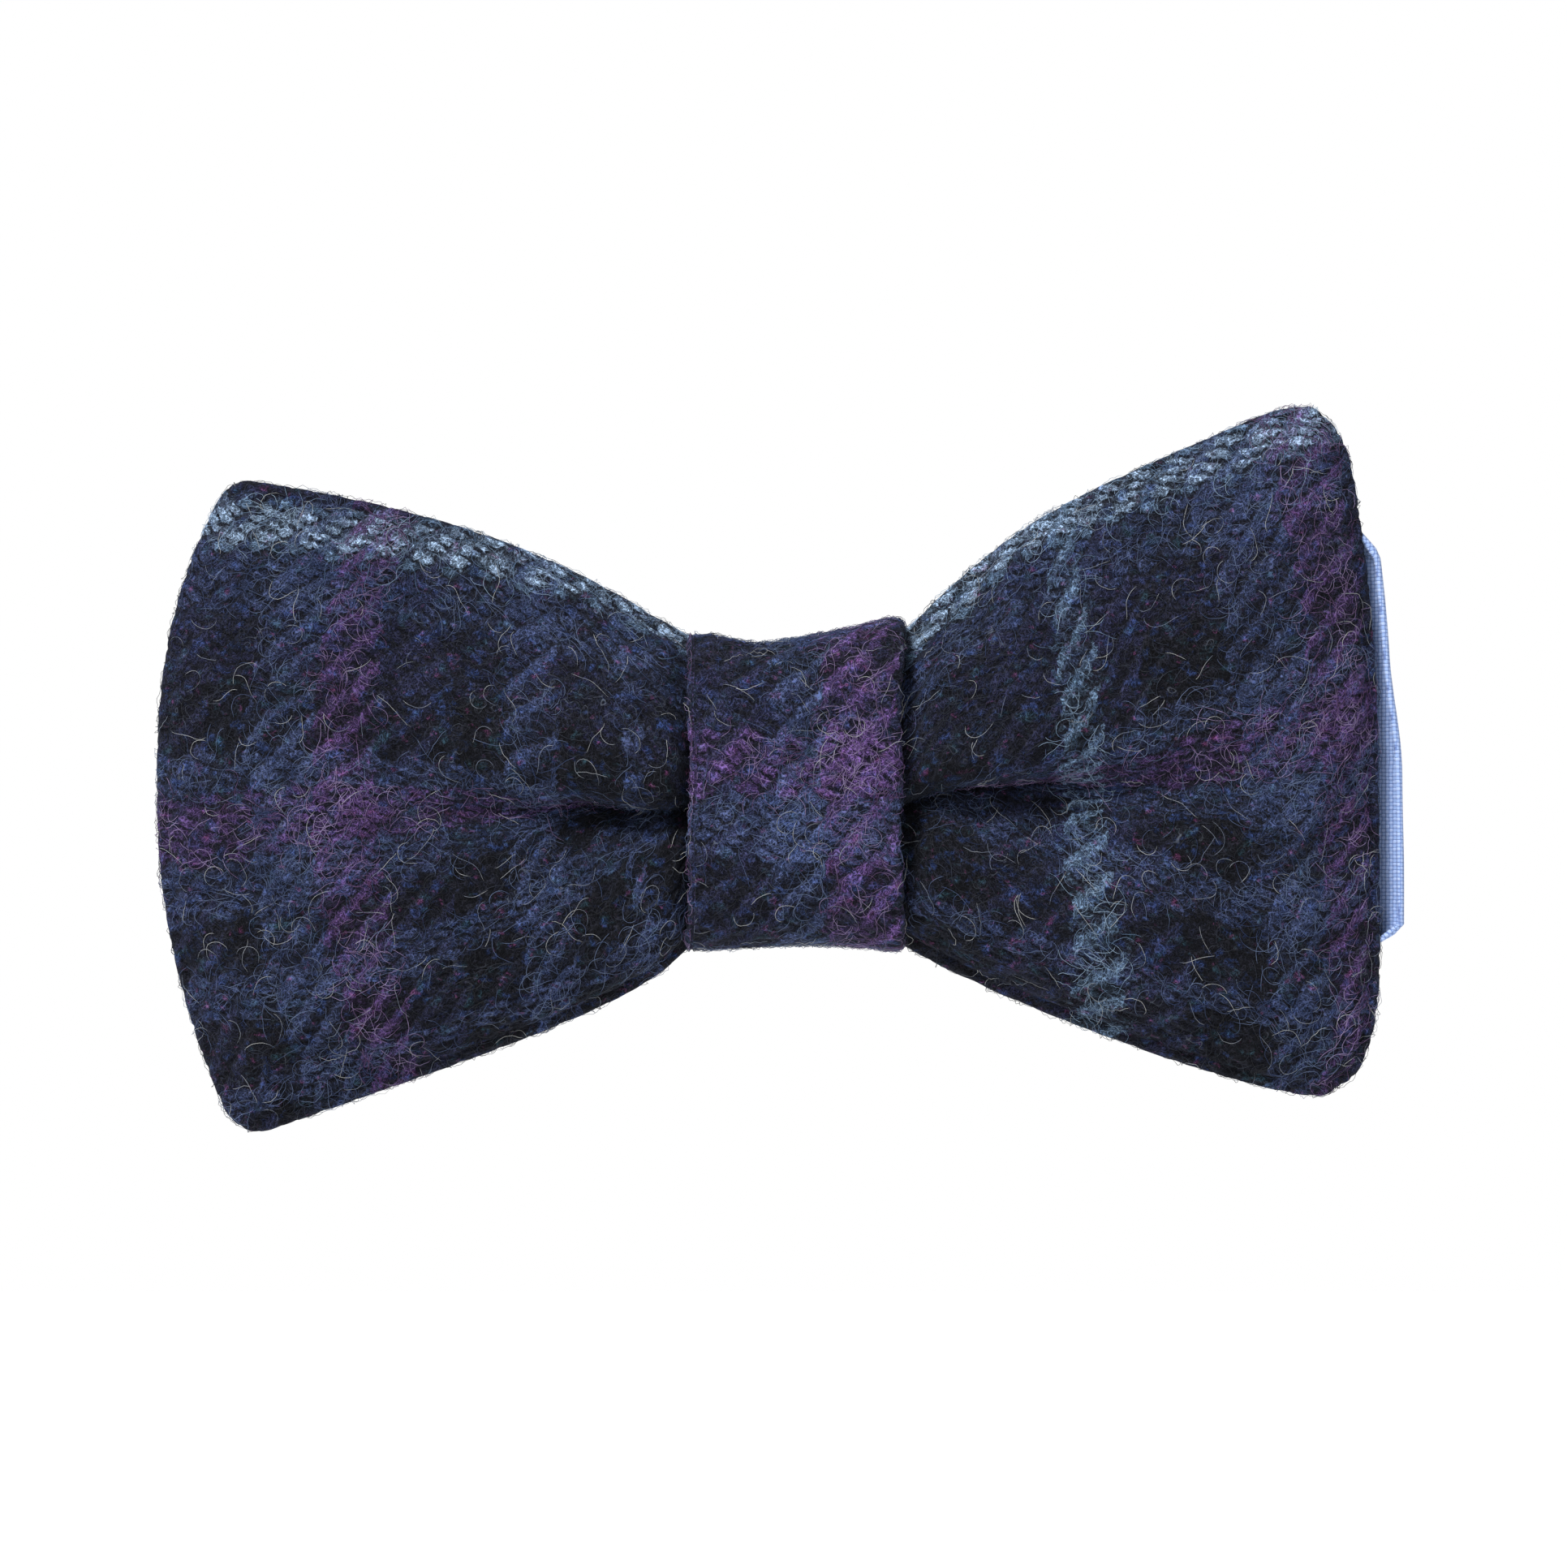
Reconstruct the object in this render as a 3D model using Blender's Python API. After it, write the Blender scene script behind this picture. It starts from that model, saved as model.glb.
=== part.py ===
"""Pre-tied tweed bow tie on an adjustable neck band, worn upright.

Metres, +Z up. The bow faces -Y and +X is to the right of someone looking at it.
The origin is the middle of the flat back of the knot, where it rests on the collar.
"""

import math

import bmesh
import bpy
from mathutils import Vector

MM = 0.001
GAP = 0.3                      # clearance kept between touching pieces, mm
# Everything below is in millimetres until a mesh is written.

# Bow body
WAIST_HALF_HEIGHT = 11.6       # gathered waist under the knot
WAIST_HALF_LENGTH = 10.95      # half length of the straight gathered stretch
BOW_MID_Y = -9.0
EDGE_HALF_THICKNESS = 1.2      # half thickness of the sewn edge
WAIST_PUFF = 2.3               # how far front and back stand out at the waist
LOBE_PUFF = 5.6                # front of the lobes beside the knot
OUTER_PUFF = 3.4               # front near the outer edges
BACK_PUFF = 2.9
PLEAT_DEPTH = 3.8
PLEAT_HALF_WIDTH = 0.11        # as a share of the wing's half height
PLEAT_REACH = 0.66             # share of the wing's length where the pleat ends
TWEED = 1.4
COTTON = 0.6
INTERLINING_INSET = 0.88       # share of the half height that the wadding covers
INTERLINING_REACH = 0.93       # share of the wing's length that the wadding covers
LINING_BILLOW = 2.0            # lining standing past the tweed at the right end

# Knot
KNOT_HALF_WIDTH = 10.65
KNOT_HALF_HEIGHT = 15.4
KNOT_FRONT_Y = -16.4
KNOT_WALL = 1.4
KNOT_BACK_WALL = 1.3
KNOT_BACK_RADIUS = 2.4
KNOT_LINER_HALF_WIDTH = 9.0
KNOT_LINER = 0.6
KNOT_EDGE_RISE = 0.9           # edges stand taller than the middle
BINDING_RADIUS = 0.35
BINDING_TURNS = 5
BINDING_PITCH = 1.1

# Neck band
BAND_HALF_HEIGHT = 9.5
BAND_HALF_THICKNESS = 0.7
BAND_PLY = 0.25
BAND_INTERLINING_HALF = 0.15
BAND_FRONT_Y = -3.2
BAND_FLAT_HALF = 13.0          # straight stretch through the knot and at the back
BAND_HALF_SPAN = 54.0
BAND_ARC_DEPTH = 44.0
BAND_SIDE_RUN = 40.0
TURN_RADIUS = 1.55             # centre line of the band where it turns round a bar
FASTENER_BAR_X = 9.5           # bars of the hook and the eye
RETURN_START = 1.70            # run position where the adjustable side's second layer starts
SEWN_END_START = 2.62          # run position where the turned end at the eye stops
HINGE_OUT = 0.2                # hinge axis this far outside the band's outer face

# Metal fittings
BAR_RADIUS = 0.5
PLATE = 1.0
SLIDER_Y = 52.0
SLIDER_HALF_LENGTH = 6.0
RAIL = 1.6

SIDE_START_Y = BAND_FRONT_Y + BAND_ARC_DEPTH
SIDE_END_Y = SIDE_START_Y + BAND_SIDE_RUN
BAND_BACK_Y = SIDE_END_Y + BAND_ARC_DEPTH

# Wing outlines: each edge is a Bezier curve from the waist to its corner, as x, z.
WING_EDGES = {
    1: {"top": [(10.95, 11.6), (13.5, 23.0), (30.0, 29.8), (50.9, 37.2)],
        "bottom": [(10.95, -11.6), (14.0, -20.6), (34.0, -26.0), (51.6, -30.4)],
        "bulge": 6.7, "bulge_powers": (6.5, 4.2)},
    -1: {"top": [(-10.95, 11.6), (-14.0, 20.6), (-32.0, 26.4), (-55.4, 30.1)],
         "bottom": [(-10.95, -11.6), (-14.0, -21.0), (-36.0, -28.0), (-54.2, -33.7)],
         "bulge": 7.7, "bulge_powers": (2.8, 2.7)},
}

WING_STATIONS = [0, 0.03, 0.08, 0.16, 0.26, 0.38, 0.51, 0.65, 0.78, 0.88, 0.95, 1]
HEIGHT_STATIONS = [0, 0.06, 0.14, 0.26, 0.45, 0.68, 0.88, 1]


def clear_scene():
    for item in list(bpy.data.objects):
        bpy.data.objects.remove(item, do_unlink=True)


def material(name, colour, roughness, metallic=0.0):
    made = bpy.data.materials.new(name)
    made.use_nodes = True
    shader = made.node_tree.nodes["Principled BSDF"]
    shader.inputs["Base Color"].default_value = (*colour, 1.0)
    shader.inputs["Roughness"].default_value = roughness
    shader.inputs["Metallic"].default_value = metallic
    made.diffuse_color = (*colour, 1.0)
    return made


def add_mesh(name, bm, finish, origin=(0, 0, 0), smooth=True):
    """Write a bmesh in millimetres as an object in metres with its origin at origin."""
    centre = Vector(origin)
    for vert in bm.verts:
        vert.co = (vert.co - centre) * MM
    bmesh.ops.recalc_face_normals(bm, faces=bm.faces[:])
    mesh = bpy.data.meshes.new(name)
    bm.to_mesh(mesh)
    bm.free()
    if smooth:
        mesh.shade_smooth()
        mesh.set_sharp_from_angle(angle=math.radians(40))
    mesh.materials.append(finish)
    made = bpy.data.objects.new(name, mesh)
    made.location = centre * MM
    bpy.context.scene.collection.objects.link(made)
    return made


def bezier(points, s):
    """Point on a cubic Bezier curve given by its four x, z points."""
    weights = ((1 - s) ** 3, 3 * s * (1 - s) ** 2, 3 * s * s * (1 - s), s ** 3)
    return tuple(sum(w * p[i] for w, p in zip(weights, points)) for i in (0, 1))


def wing_xz(side, s, t):
    """Outline position at s from waist to outer edge, t from bottom to top edge."""
    edges = WING_EDGES[side]
    top = bezier(edges["top"], s)
    bottom = bezier(edges["bottom"], s)
    mix = (t + 1) / 2
    x = bottom[0] + (top[0] - bottom[0]) * mix
    z = bottom[1] + (top[1] - bottom[1]) * mix
    power = edges["bulge_powers"][0 if t < 0 else 1]
    x += side * edges["bulge"] * s ** 3 * (1 - abs(t) ** power)
    return x, z


def smooth_step(value):
    value = min(1.0, max(0.0, value))
    return value * value * (3 - 2 * value)


def rounding(s, t):
    """Falls from 1 inside the wing to 0 on its edges, as a quarter circle does."""
    across = math.sqrt(max(0.0, 1 - t * t))
    end = max(0.0, (s - 0.82) / 0.18)
    return across * math.sqrt(max(0.0, 1 - end * end))


def pleat(s, t):
    depth = PLEAT_DEPTH * (1 - smooth_step(s / PLEAT_REACH))
    width = PLEAT_HALF_WIDTH * (1 + 1.5 * s)
    return depth * math.exp(-((t / width) ** 2))


def front_y(s, t):
    rise = smooth_step(s / 0.22)
    fall = smooth_step((s - 0.3) / 0.6)
    puff = WAIST_PUFF + (LOBE_PUFF - WAIST_PUFF) * rise + (OUTER_PUFF - LOBE_PUFF) * fall
    return BOW_MID_Y - EDGE_HALF_THICKNESS - puff * rounding(s, t) + pleat(s, t)


def back_y(s, t):
    puff = WAIST_PUFF + (BACK_PUFF - WAIST_PUFF) * smooth_step(s / 0.3)
    return BOW_MID_Y + EDGE_HALF_THICKNESS + puff * rounding(s, t)


def layer(name, finish, front, back, inset=1.0, reach=1.0, billow=0.0):
    """A cloth layer across both wings, between two depth functions of s and t."""
    heights = [-h for h in reversed(HEIGHT_STATIONS[1:])] + HEIGHT_STATIONS
    heights = [h * inset for h in heights]
    stations = [(-1, s * reach) for s in reversed(WING_STATIONS)]
    stations += [(1, s * reach) for s in WING_STATIONS]
    bm = bmesh.new()
    sheets = []
    for depth in (front, back):
        rows = []
        for side, s in stations:
            row = []
            for t in heights:
                x, z = wing_xz(side, s, t)
                if side == 1:
                    x += billow * s ** 4 * smooth_step((1 - abs(t - 0.05)) / 0.45)
                row.append(bm.verts.new((x, depth(s, t), z)))
            rows.append(row)
        sheets.append(rows)
    columns = len(stations)
    count = len(heights)
    for i in range(columns - 1):
        for j in range(count - 1):
            for rows in sheets:
                bm.faces.new((rows[i][j], rows[i + 1][j], rows[i + 1][j + 1], rows[i][j + 1]))
    rim = [(0, j) for j in range(count)] + [(i, count - 1) for i in range(1, columns)]
    rim += [(columns - 1, j) for j in range(count - 2, -1, -1)]
    rim += [(i, 0) for i in range(columns - 2, 0, -1)]
    for here, there in zip(rim, rim[1:] + rim[:1]):
        a, b = sheets[0][here[0]][here[1]], sheets[0][there[0]][there[1]]
        c, d = sheets[1][there[0]][there[1]], sheets[1][here[0]][here[1]]
        bm.faces.new((a, b, c, d))
    return add_mesh(name, bm, finish)


def build_bow(tweed, wadding, cotton):
    layer("bow_front_panel", tweed, front_y, lambda s, t: front_y(s, t) + TWEED)
    layer("bow_interlining", wadding,
          lambda s, t: front_y(s, t) + TWEED + GAP,
          lambda s, t: back_y(s, t) - COTTON - GAP,
          inset=INTERLINING_INSET, reach=INTERLINING_REACH)
    layer("bow_back_lining", cotton, lambda s, t: back_y(s, t) - COTTON, back_y,
          billow=LINING_BILLOW)


def knot_profile(half_height, front, back, front_radius, back_radius, steps=5):
    """Rounded rectangle around the waist as y, z points."""
    corners = [(back, half_height, back_radius, 0), (front, half_height, front_radius, 1),
               (front, -half_height, front_radius, 2), (back, -half_height, back_radius, 3)]
    points = []
    for y, z, radius, quarter in corners:
        cy = y + (radius if y == front else -radius)
        cz = z - math.copysign(radius, z)
        for step in range(steps + 1):
            angle = math.radians(90 * (quarter + step / steps))
            points.append((cy + radius * math.cos(angle), cz + radius * math.sin(angle)))
    return points


def knot_ring(name, finish, outer, inner, stations, rise=0.0):
    """A band round the waist: outer and inner y, z loops carried along X."""
    bm = bmesh.new()
    width = stations[-1]
    loops = []
    for x in stations:
        lift = rise * (x / width) ** 2
        pair = []
        for loop in (outer, inner):
            pair.append([bm.verts.new((x, y, z + math.copysign(lift, z))) for y, z in loop])
        loops.append(pair)
    count = len(outer)
    for j in range(count):
        k = (j + 1) % count
        for first, second in zip(loops, loops[1:]):
            for side in (0, 1):
                a, b = first[side], second[side]
                bm.faces.new((a[j], a[k], b[k], b[j]))
        for pair in (loops[0], loops[-1]):
            bm.faces.new((pair[0][j], pair[0][k], pair[1][k], pair[1][j]))
    return add_mesh(name, bm, finish)


def thread(name, finish, points, radius):
    """A sewing thread: a round tube through points, with filled ends."""
    curve = bpy.data.curves.new(name, "CURVE")
    curve.dimensions = "3D"
    curve.bevel_depth = radius * MM
    curve.bevel_resolution = 1
    curve.use_fill_caps = True
    spline = curve.splines.new("POLY")
    spline.points.add(len(points) - 1)
    for item, point in zip(spline.points, points):
        item.co = (*(value * MM for value in point), 1.0)
    curve.materials.append(finish)
    made = bpy.data.objects.new(name, curve)
    bpy.context.scene.collection.objects.link(made)
    return made


def build_knot(tweed, canvas, thread_finish):
    outer = knot_profile(KNOT_HALF_HEIGHT, KNOT_FRONT_Y, 0.0, 5.0, KNOT_BACK_RADIUS)
    wall_front = KNOT_FRONT_Y + KNOT_WALL
    wall_height = KNOT_HALF_HEIGHT - KNOT_WALL
    inner = knot_profile(wall_height, wall_front, -KNOT_BACK_WALL, 3.6, 1.1)
    stations = [KNOT_HALF_WIDTH * share for share in (-1, -0.8, -0.5, 0, 0.5, 0.8, 1)]
    knot_ring("knot_wrap", tweed, outer, inner, stations, rise=KNOT_EDGE_RISE)

    liner_outer = knot_profile(wall_height - GAP, wall_front + GAP, -KNOT_BACK_WALL - GAP, 3.3, 1.0)
    step = GAP + KNOT_LINER
    liner_inner = knot_profile(wall_height - step, wall_front + step,
                               -KNOT_BACK_WALL - step, 2.7, 0.6)
    knot_ring("knot_interlining", canvas, liner_outer, liner_inner,
              [-KNOT_LINER_HALF_WIDTH, 0, KNOT_LINER_HALF_WIDTH])

    turns = []
    steps = 20
    for index in range(BINDING_TURNS * steps + 1):
        angle = 2 * math.pi * index / steps
        c, s = math.cos(angle), math.sin(angle)
        radius = (abs(c) ** 3 + abs(s) ** 3) ** (-1 / 3)
        x = BINDING_PITCH * (index / steps - BINDING_TURNS / 2)
        turns.append((x, BOW_MID_Y + 4.4 * radius * c, 12.35 * radius * s))
    thread("waist_binding_thread", thread_finish, turns, BINDING_RADIUS)

    # Whip stitches that close the knot, round its lower back corner
    stitches = []
    for index in range(9):
        for shift, turn in ((0.0, 42), (0.6, 60), (1.1, 78)):
            x = -8.5 + 2.0 * index + shift
            drop = KNOT_EDGE_RISE * (x / KNOT_HALF_WIDTH) ** 2
            angle = math.radians(turn)
            reach = KNOT_BACK_RADIUS + 0.55
            stitches.append((x, reach * math.cos(angle) - KNOT_BACK_RADIUS,
                             KNOT_BACK_RADIUS - KNOT_HALF_HEIGHT - drop - reach * math.sin(angle)))
    thread("knot_seam_thread", thread_finish, stitches, 0.22)


def band_plan(side, start, end):
    """Plan points of the band's centre line on one side, between two run positions.

    The run is 0-1 on the front arc, 1-2 along the straight side, 2-3 on the back arc.
    """
    points = []
    for part in range(3):
        low, high = max(start, part), min(end, part + 1)
        if high <= low:
            continue
        count = 2 if part == 1 else max(2, round(14 * (high - low)))
        for step in range(count + 1):
            share = low - part + (high - low) * step / count
            angle = math.radians(90 * share)
            arc = BAND_HALF_SPAN - BAND_FLAT_HALF
            if part == 0:
                x = BAND_FLAT_HALF + arc * math.sin(angle)
                y = SIDE_START_Y - BAND_ARC_DEPTH * math.cos(angle)
            elif part == 1:
                x = BAND_HALF_SPAN
                y = SIDE_START_Y + BAND_SIDE_RUN * share
            else:
                x = BAND_FLAT_HALF + arc * math.cos(angle)
                y = SIDE_END_Y + BAND_ARC_DEPTH * math.sin(angle)
            if not points or math.dist(points[-1], (side * x, y)) > 0.01:
                points.append((side * x, y))
    return points


def plan_normals(points):
    normals = []
    for index in range(len(points)):
        before = points[max(0, index - 1)]
        after = points[min(len(points) - 1, index + 1)]
        dx, dy = after[0] - before[0], after[1] - before[1]
        length = math.hypot(dx, dy)
        normals.append((dy / length, -dx / length))
    return normals


def strip(name, finish, points, half_thickness, half_height, ply=None, origin=(0, 0, 0)):
    """A band standing on edge along plan points: solid, or a flat tube of one ply."""
    bm = bmesh.new()
    normals = plan_normals(points)
    sections = [(half_thickness, half_height)]
    if ply:
        sections.append((half_thickness - ply, half_height - 3 * ply))
    rings = []
    for (x, y), (nx, ny) in zip(points, normals):
        ring = []
        for thick, high in sections:
            corners = ((1, 1), (1, -1), (-1, -1), (-1, 1))
            ring.append([bm.verts.new((x + nx * thick * a, y + ny * thick * a, high * b))
                         for a, b in corners])
        rings.append(ring)
    for first, second in zip(rings, rings[1:]):
        for loop, next_loop in zip(first, second):
            for j in range(4):
                k = (j + 1) % 4
                bm.faces.new((loop[j], loop[k], next_loop[k], next_loop[j]))
    for ring in (rings[0], rings[-1]):
        if ply:
            for j in range(4):
                k = (j + 1) % 4
                bm.faces.new((ring[0][j], ring[0][k], ring[1][k], ring[1][j]))
        else:
            bm.faces.new(ring[0])
    return add_mesh(name, bm, finish, origin)


def turned_end(side, bar, back_to):
    """Plan points where the band goes round its bar and back on the inner side."""
    points = []
    for step in range(9):
        angle = math.radians(90 - 22.5 * step)
        points.append((bar[0] - side * TURN_RADIUS * math.cos(angle),
                       bar[1] + TURN_RADIUS * math.sin(angle)))
    inner = bar[1] - TURN_RADIUS
    for x, lift in back_to:
        points.append((side * x, inner + lift))
    return points


def hinge_point(side):
    return (side * (BAND_HALF_SPAN + BAND_HALF_THICKNESS + HINGE_OUT), SIDE_START_Y, 0.0)


def bar_point(side):
    return (side * FASTENER_BAR_X, BAND_BACK_Y - TURN_RADIUS, 0.0)


def offset_inward(points, distance):
    """Plan points moved towards the inside of the neck loop."""
    moved = []
    for (x, y), (nx, ny) in zip(points, plan_normals(points)):
        towards_centre = -nx * x - ny * (y - (SIDE_START_Y + SIDE_END_Y) / 2)
        sign = 1 if towards_centre > 0 else -1
        moved.append((x + nx * distance * sign, y + ny * distance * sign))
    return moved


def build_band(cotton, canvas, thread_finish):
    lead = GAP / 2 / BAND_SIDE_RUN
    right = band_plan(1, 0, 1)
    right[-1] = (right[-1][0], SIDE_START_Y - GAP / 2)
    front = [(-x, y) for x, y in reversed(right)] + right
    strip("band_front", cotton, front, BAND_HALF_THICKNESS, BAND_HALF_HEIGHT, BAND_PLY)
    inset = front[1:-1]
    strip("band_front_interlining", canvas, inset, BAND_INTERLINING_HALF, BAND_HALF_HEIGHT - 1.2)

    for side, label in ((-1, "left"), (1, "right")):
        main = band_plan(side, 1 + lead, 3)
        bar = bar_point(side)
        main_end = main + [(side * (FASTENER_BAR_X + 1.2), BAND_BACK_Y)]
        if side == -1:
            # The adjustable side comes back as a second layer towards the slider
            back_start = RETURN_START
        else:
            back_start = SEWN_END_START
        back = offset_inward(band_plan(side, back_start, 2.93), 2 * BAND_HALF_THICKNESS + 0.35)
        back = [(side * p[0], p[1] - bar[1] + TURN_RADIUS) for p in reversed(back)]
        path = main_end + turned_end(side, bar, back)
        hinge = hinge_point(side)
        strip(f"band_{label}", cotton, path, BAND_HALF_THICKNESS, BAND_HALF_HEIGHT,
              BAND_PLY, origin=hinge)
        strip(f"band_{label}_interlining", canvas, main[1:], BAND_INTERLINING_HALF,
              BAND_HALF_HEIGHT - 1.2, origin=hinge)

    # Bar tack through both layers of the right-hand turned end, on its outer face
    tack = []
    x = FASTENER_BAR_X + 4.6
    for index in range(19):
        z = -7.2 + 0.8 * index
        tack.append((x + (0.5 if index % 2 else -0.5), BAND_BACK_Y + 1.25, z))
    thread("eye_bar_tack", thread_finish, tack, 0.2)


def outline_plate(outline, holes, thickness):
    """A stamped plate in the X-Z plane with through holes, centred on y = 0."""
    bm = bmesh.new()
    edges = []
    for loop in [outline] + holes:
        verts = [bm.verts.new((x, -thickness / 2, z)) for x, z in loop]
        edges += [bm.edges.new(pair) for pair in zip(verts, verts[1:] + verts[:1])]
    bmesh.ops.triangle_fill(bm, use_beauty=True, edges=edges)
    grown = bmesh.ops.extrude_face_region(bm, geom=bm.faces[:])
    moved = [item for item in grown["geom"] if isinstance(item, bmesh.types.BMVert)]
    bmesh.ops.translate(bm, vec=(0, thickness, 0), verts=moved)
    return bm


def rounded_rectangle(low_x, high_x, half_z, radius, steps=3):
    points = []
    corners = ((high_x - radius, half_z - radius, 0), (low_x + radius, half_z - radius, 1),
               (low_x + radius, radius - half_z, 2), (high_x - radius, radius - half_z, 3))
    for cx, cz, quarter in corners:
        for step in range(steps + 1):
            angle = math.radians(90 * (quarter + step / steps))
            points.append((cx + radius * math.cos(angle), cz + radius * math.sin(angle)))
    return points


def box(bm, low, high):
    """Add a closed box between two corners."""
    made = bmesh.ops.create_cube(bm, size=1.0)
    for vert in made["verts"]:
        vert.co = Vector(low[i] + (high[i] - low[i]) * (vert.co[i] + 0.5) for i in range(3))


def union(target, part_bm, name, origin):
    """Join another closed solid to target with a Boolean union."""
    part = add_mesh(name, part_bm, target.data.materials[0], origin, smooth=False)
    part.hide_render = True
    part.display_type = "WIRE"
    modifier = target.modifiers.new(name, "BOOLEAN")
    modifier.operation = "UNION"
    modifier.object = part


def build_hook(metal):
    """A frame that holds the band's turned end, with a tongue that hooks the eye."""
    bar = bar_point(-1)
    strap_space = BAND_HALF_HEIGHT + 0.6
    outline = rounded_rectangle(-0.5, 5.6, strap_space + RAIL, 1.5)
    slot = rounded_rectangle(0.5, 3.2, strap_space, 0.5)
    bm = outline_plate(outline, [slot], PLATE)
    for vert in bm.verts:
        vert.co += Vector((bar[0], bar[1], 0))
    hook = add_mesh("hook", bm, metal, bar)

    # Tongue: rises from the frame, runs over the eye and turns down at its tip
    lift = 2.7
    route = [(3.6, 0.0), (5.8, 0.0), (7.4, lift), (13.6, lift), (14.5, lift - 0.35),
             (14.7, lift - 1.0)]
    tongue = bmesh.new()
    rings = []
    for (x, y), (nx, ny) in zip(route, plan_normals(route)):
        ring = [tongue.verts.new((bar[0] + x + nx * 0.45 * a, bar[1] + y + ny * 0.45 * a, 2.6 * b))
                for a, b in ((1, 1), (1, -1), (-1, -1), (-1, 1))]
        rings.append(ring)
    for first, second in zip(rings, rings[1:]):
        for j in range(4):
            k = (j + 1) % 4
            tongue.faces.new((first[j], first[k], second[k], second[j]))
    tongue.faces.new(rings[0])
    tongue.faces.new(rings[-1])
    union(hook, tongue, "hook_tongue_solid", bar)


def build_eye(metal):
    bar = bar_point(1)
    strap_space = BAND_HALF_HEIGHT + 0.6
    outline = rounded_rectangle(-9.6, 0.5, strap_space + RAIL, 1.8)
    strap_slot = rounded_rectangle(-2.9, -0.5, strap_space, 0.5)
    hook_slot = rounded_rectangle(-8.6, -3.5, 5.0, 1.0)
    bm = outline_plate(outline, [strap_slot, hook_slot], PLATE)
    for vert in bm.verts:
        vert.co += Vector((bar[0], bar[1], 0))
    add_mesh("eye", bm, metal, bar)


def build_slider(metal, cotton, thread_finish):
    """Outer bars outside the band, a middle bar inside it, joined by two rails."""
    outer_face = -(BAND_HALF_SPAN + BAND_HALF_THICKNESS + 0.4)
    inner_face = -(BAND_HALF_SPAN - BAND_HALF_THICKNESS - 0.4)
    rail_z = BAND_HALF_HEIGHT + 0.5
    low_y, high_y = SLIDER_Y - SLIDER_HALF_LENGTH, SLIDER_Y + SLIDER_HALF_LENGTH
    centre = (-BAND_HALF_SPAN, SLIDER_Y, 0.0)
    frame = bmesh.new()
    box(frame, (outer_face - PLATE, low_y, -rail_z - RAIL), (outer_face, low_y + 1.6, rail_z + RAIL))
    slider = add_mesh("slider", frame, metal, centre, smooth=False)
    far_bar = bmesh.new()
    box(far_bar, (outer_face - PLATE, high_y - 1.6, -rail_z - RAIL),
        (outer_face, high_y, rail_z + RAIL))
    union(slider, far_bar, "slider_far_bar", centre)
    for sign in (-1, 1):
        rail = bmesh.new()
        near, far = sorted((sign * rail_z, sign * (rail_z + RAIL)))
        box(rail, (outer_face - PLATE + 0.05, low_y + 0.05, near),
            (inner_face + 1.6, high_y - 0.05, far - 0.05 * sign if sign > 0 else far))
        union(slider, rail, f"slider_rail_{'top' if sign > 0 else 'bottom'}", centre)
    middle = bmesh.new()
    box(middle, (inner_face + 0.35, SLIDER_Y - 0.6, -rail_z - 0.4),
        (inner_face + 1.25, SLIDER_Y + 0.6, rail_z + 0.4))
    union(slider, middle, "slider_middle_bar", centre)

    # The band's sewn end: a loop round the middle bar, closed by a line of stitches
    bar_x = inner_face + 0.8
    loop = [(bar_x - 1.35 + 0.45, SLIDER_Y + 4.0)]
    for step in range(9):
        angle = math.radians(180 + 22.5 * step)
        loop.append((bar_x + 1.05 * math.cos(angle) + 0.15, SLIDER_Y + 1.2 * math.sin(angle)))
    loop.append((bar_x + 1.2, SLIDER_Y + 4.0))
    strip("slider_tab", cotton, loop, 0.25, BAND_HALF_HEIGHT - 0.2, origin=centre)
    stitches = [(bar_x + 1.85, SLIDER_Y + (2.4 if index % 2 else 3.2), -7.2 + 0.8 * index)
                for index in range(19)]
    thread("slider_tab_stitches", thread_finish, stitches, 0.2)


def main():
    clear_scene()
    tweed = material("tweed", (0.045, 0.05, 0.085), 0.95)
    knot_tweed = material("knot_tweed", (0.06, 0.055, 0.1), 0.95)
    wadding = material("wadding", (0.85, 0.84, 0.8), 0.95)
    canvas = material("canvas", (0.78, 0.75, 0.68), 0.9)
    cotton = material("blue_cotton", (0.25, 0.38, 0.68), 0.8)
    band_cotton = material("band_cotton", (0.25, 0.38, 0.68), 0.8)
    sewing_thread = material("sewing_thread", (0.2, 0.3, 0.55), 0.7)
    metal = material("nickel", (0.75, 0.74, 0.72), 0.28, 1.0)
    build_bow(tweed, wadding, cotton)
    build_knot(knot_tweed, canvas, sewing_thread)
    build_band(band_cotton, canvas, sewing_thread)
    build_hook(metal)
    build_eye(metal)
    build_slider(metal, band_cotton, sewing_thread)


main()
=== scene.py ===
import math

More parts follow.
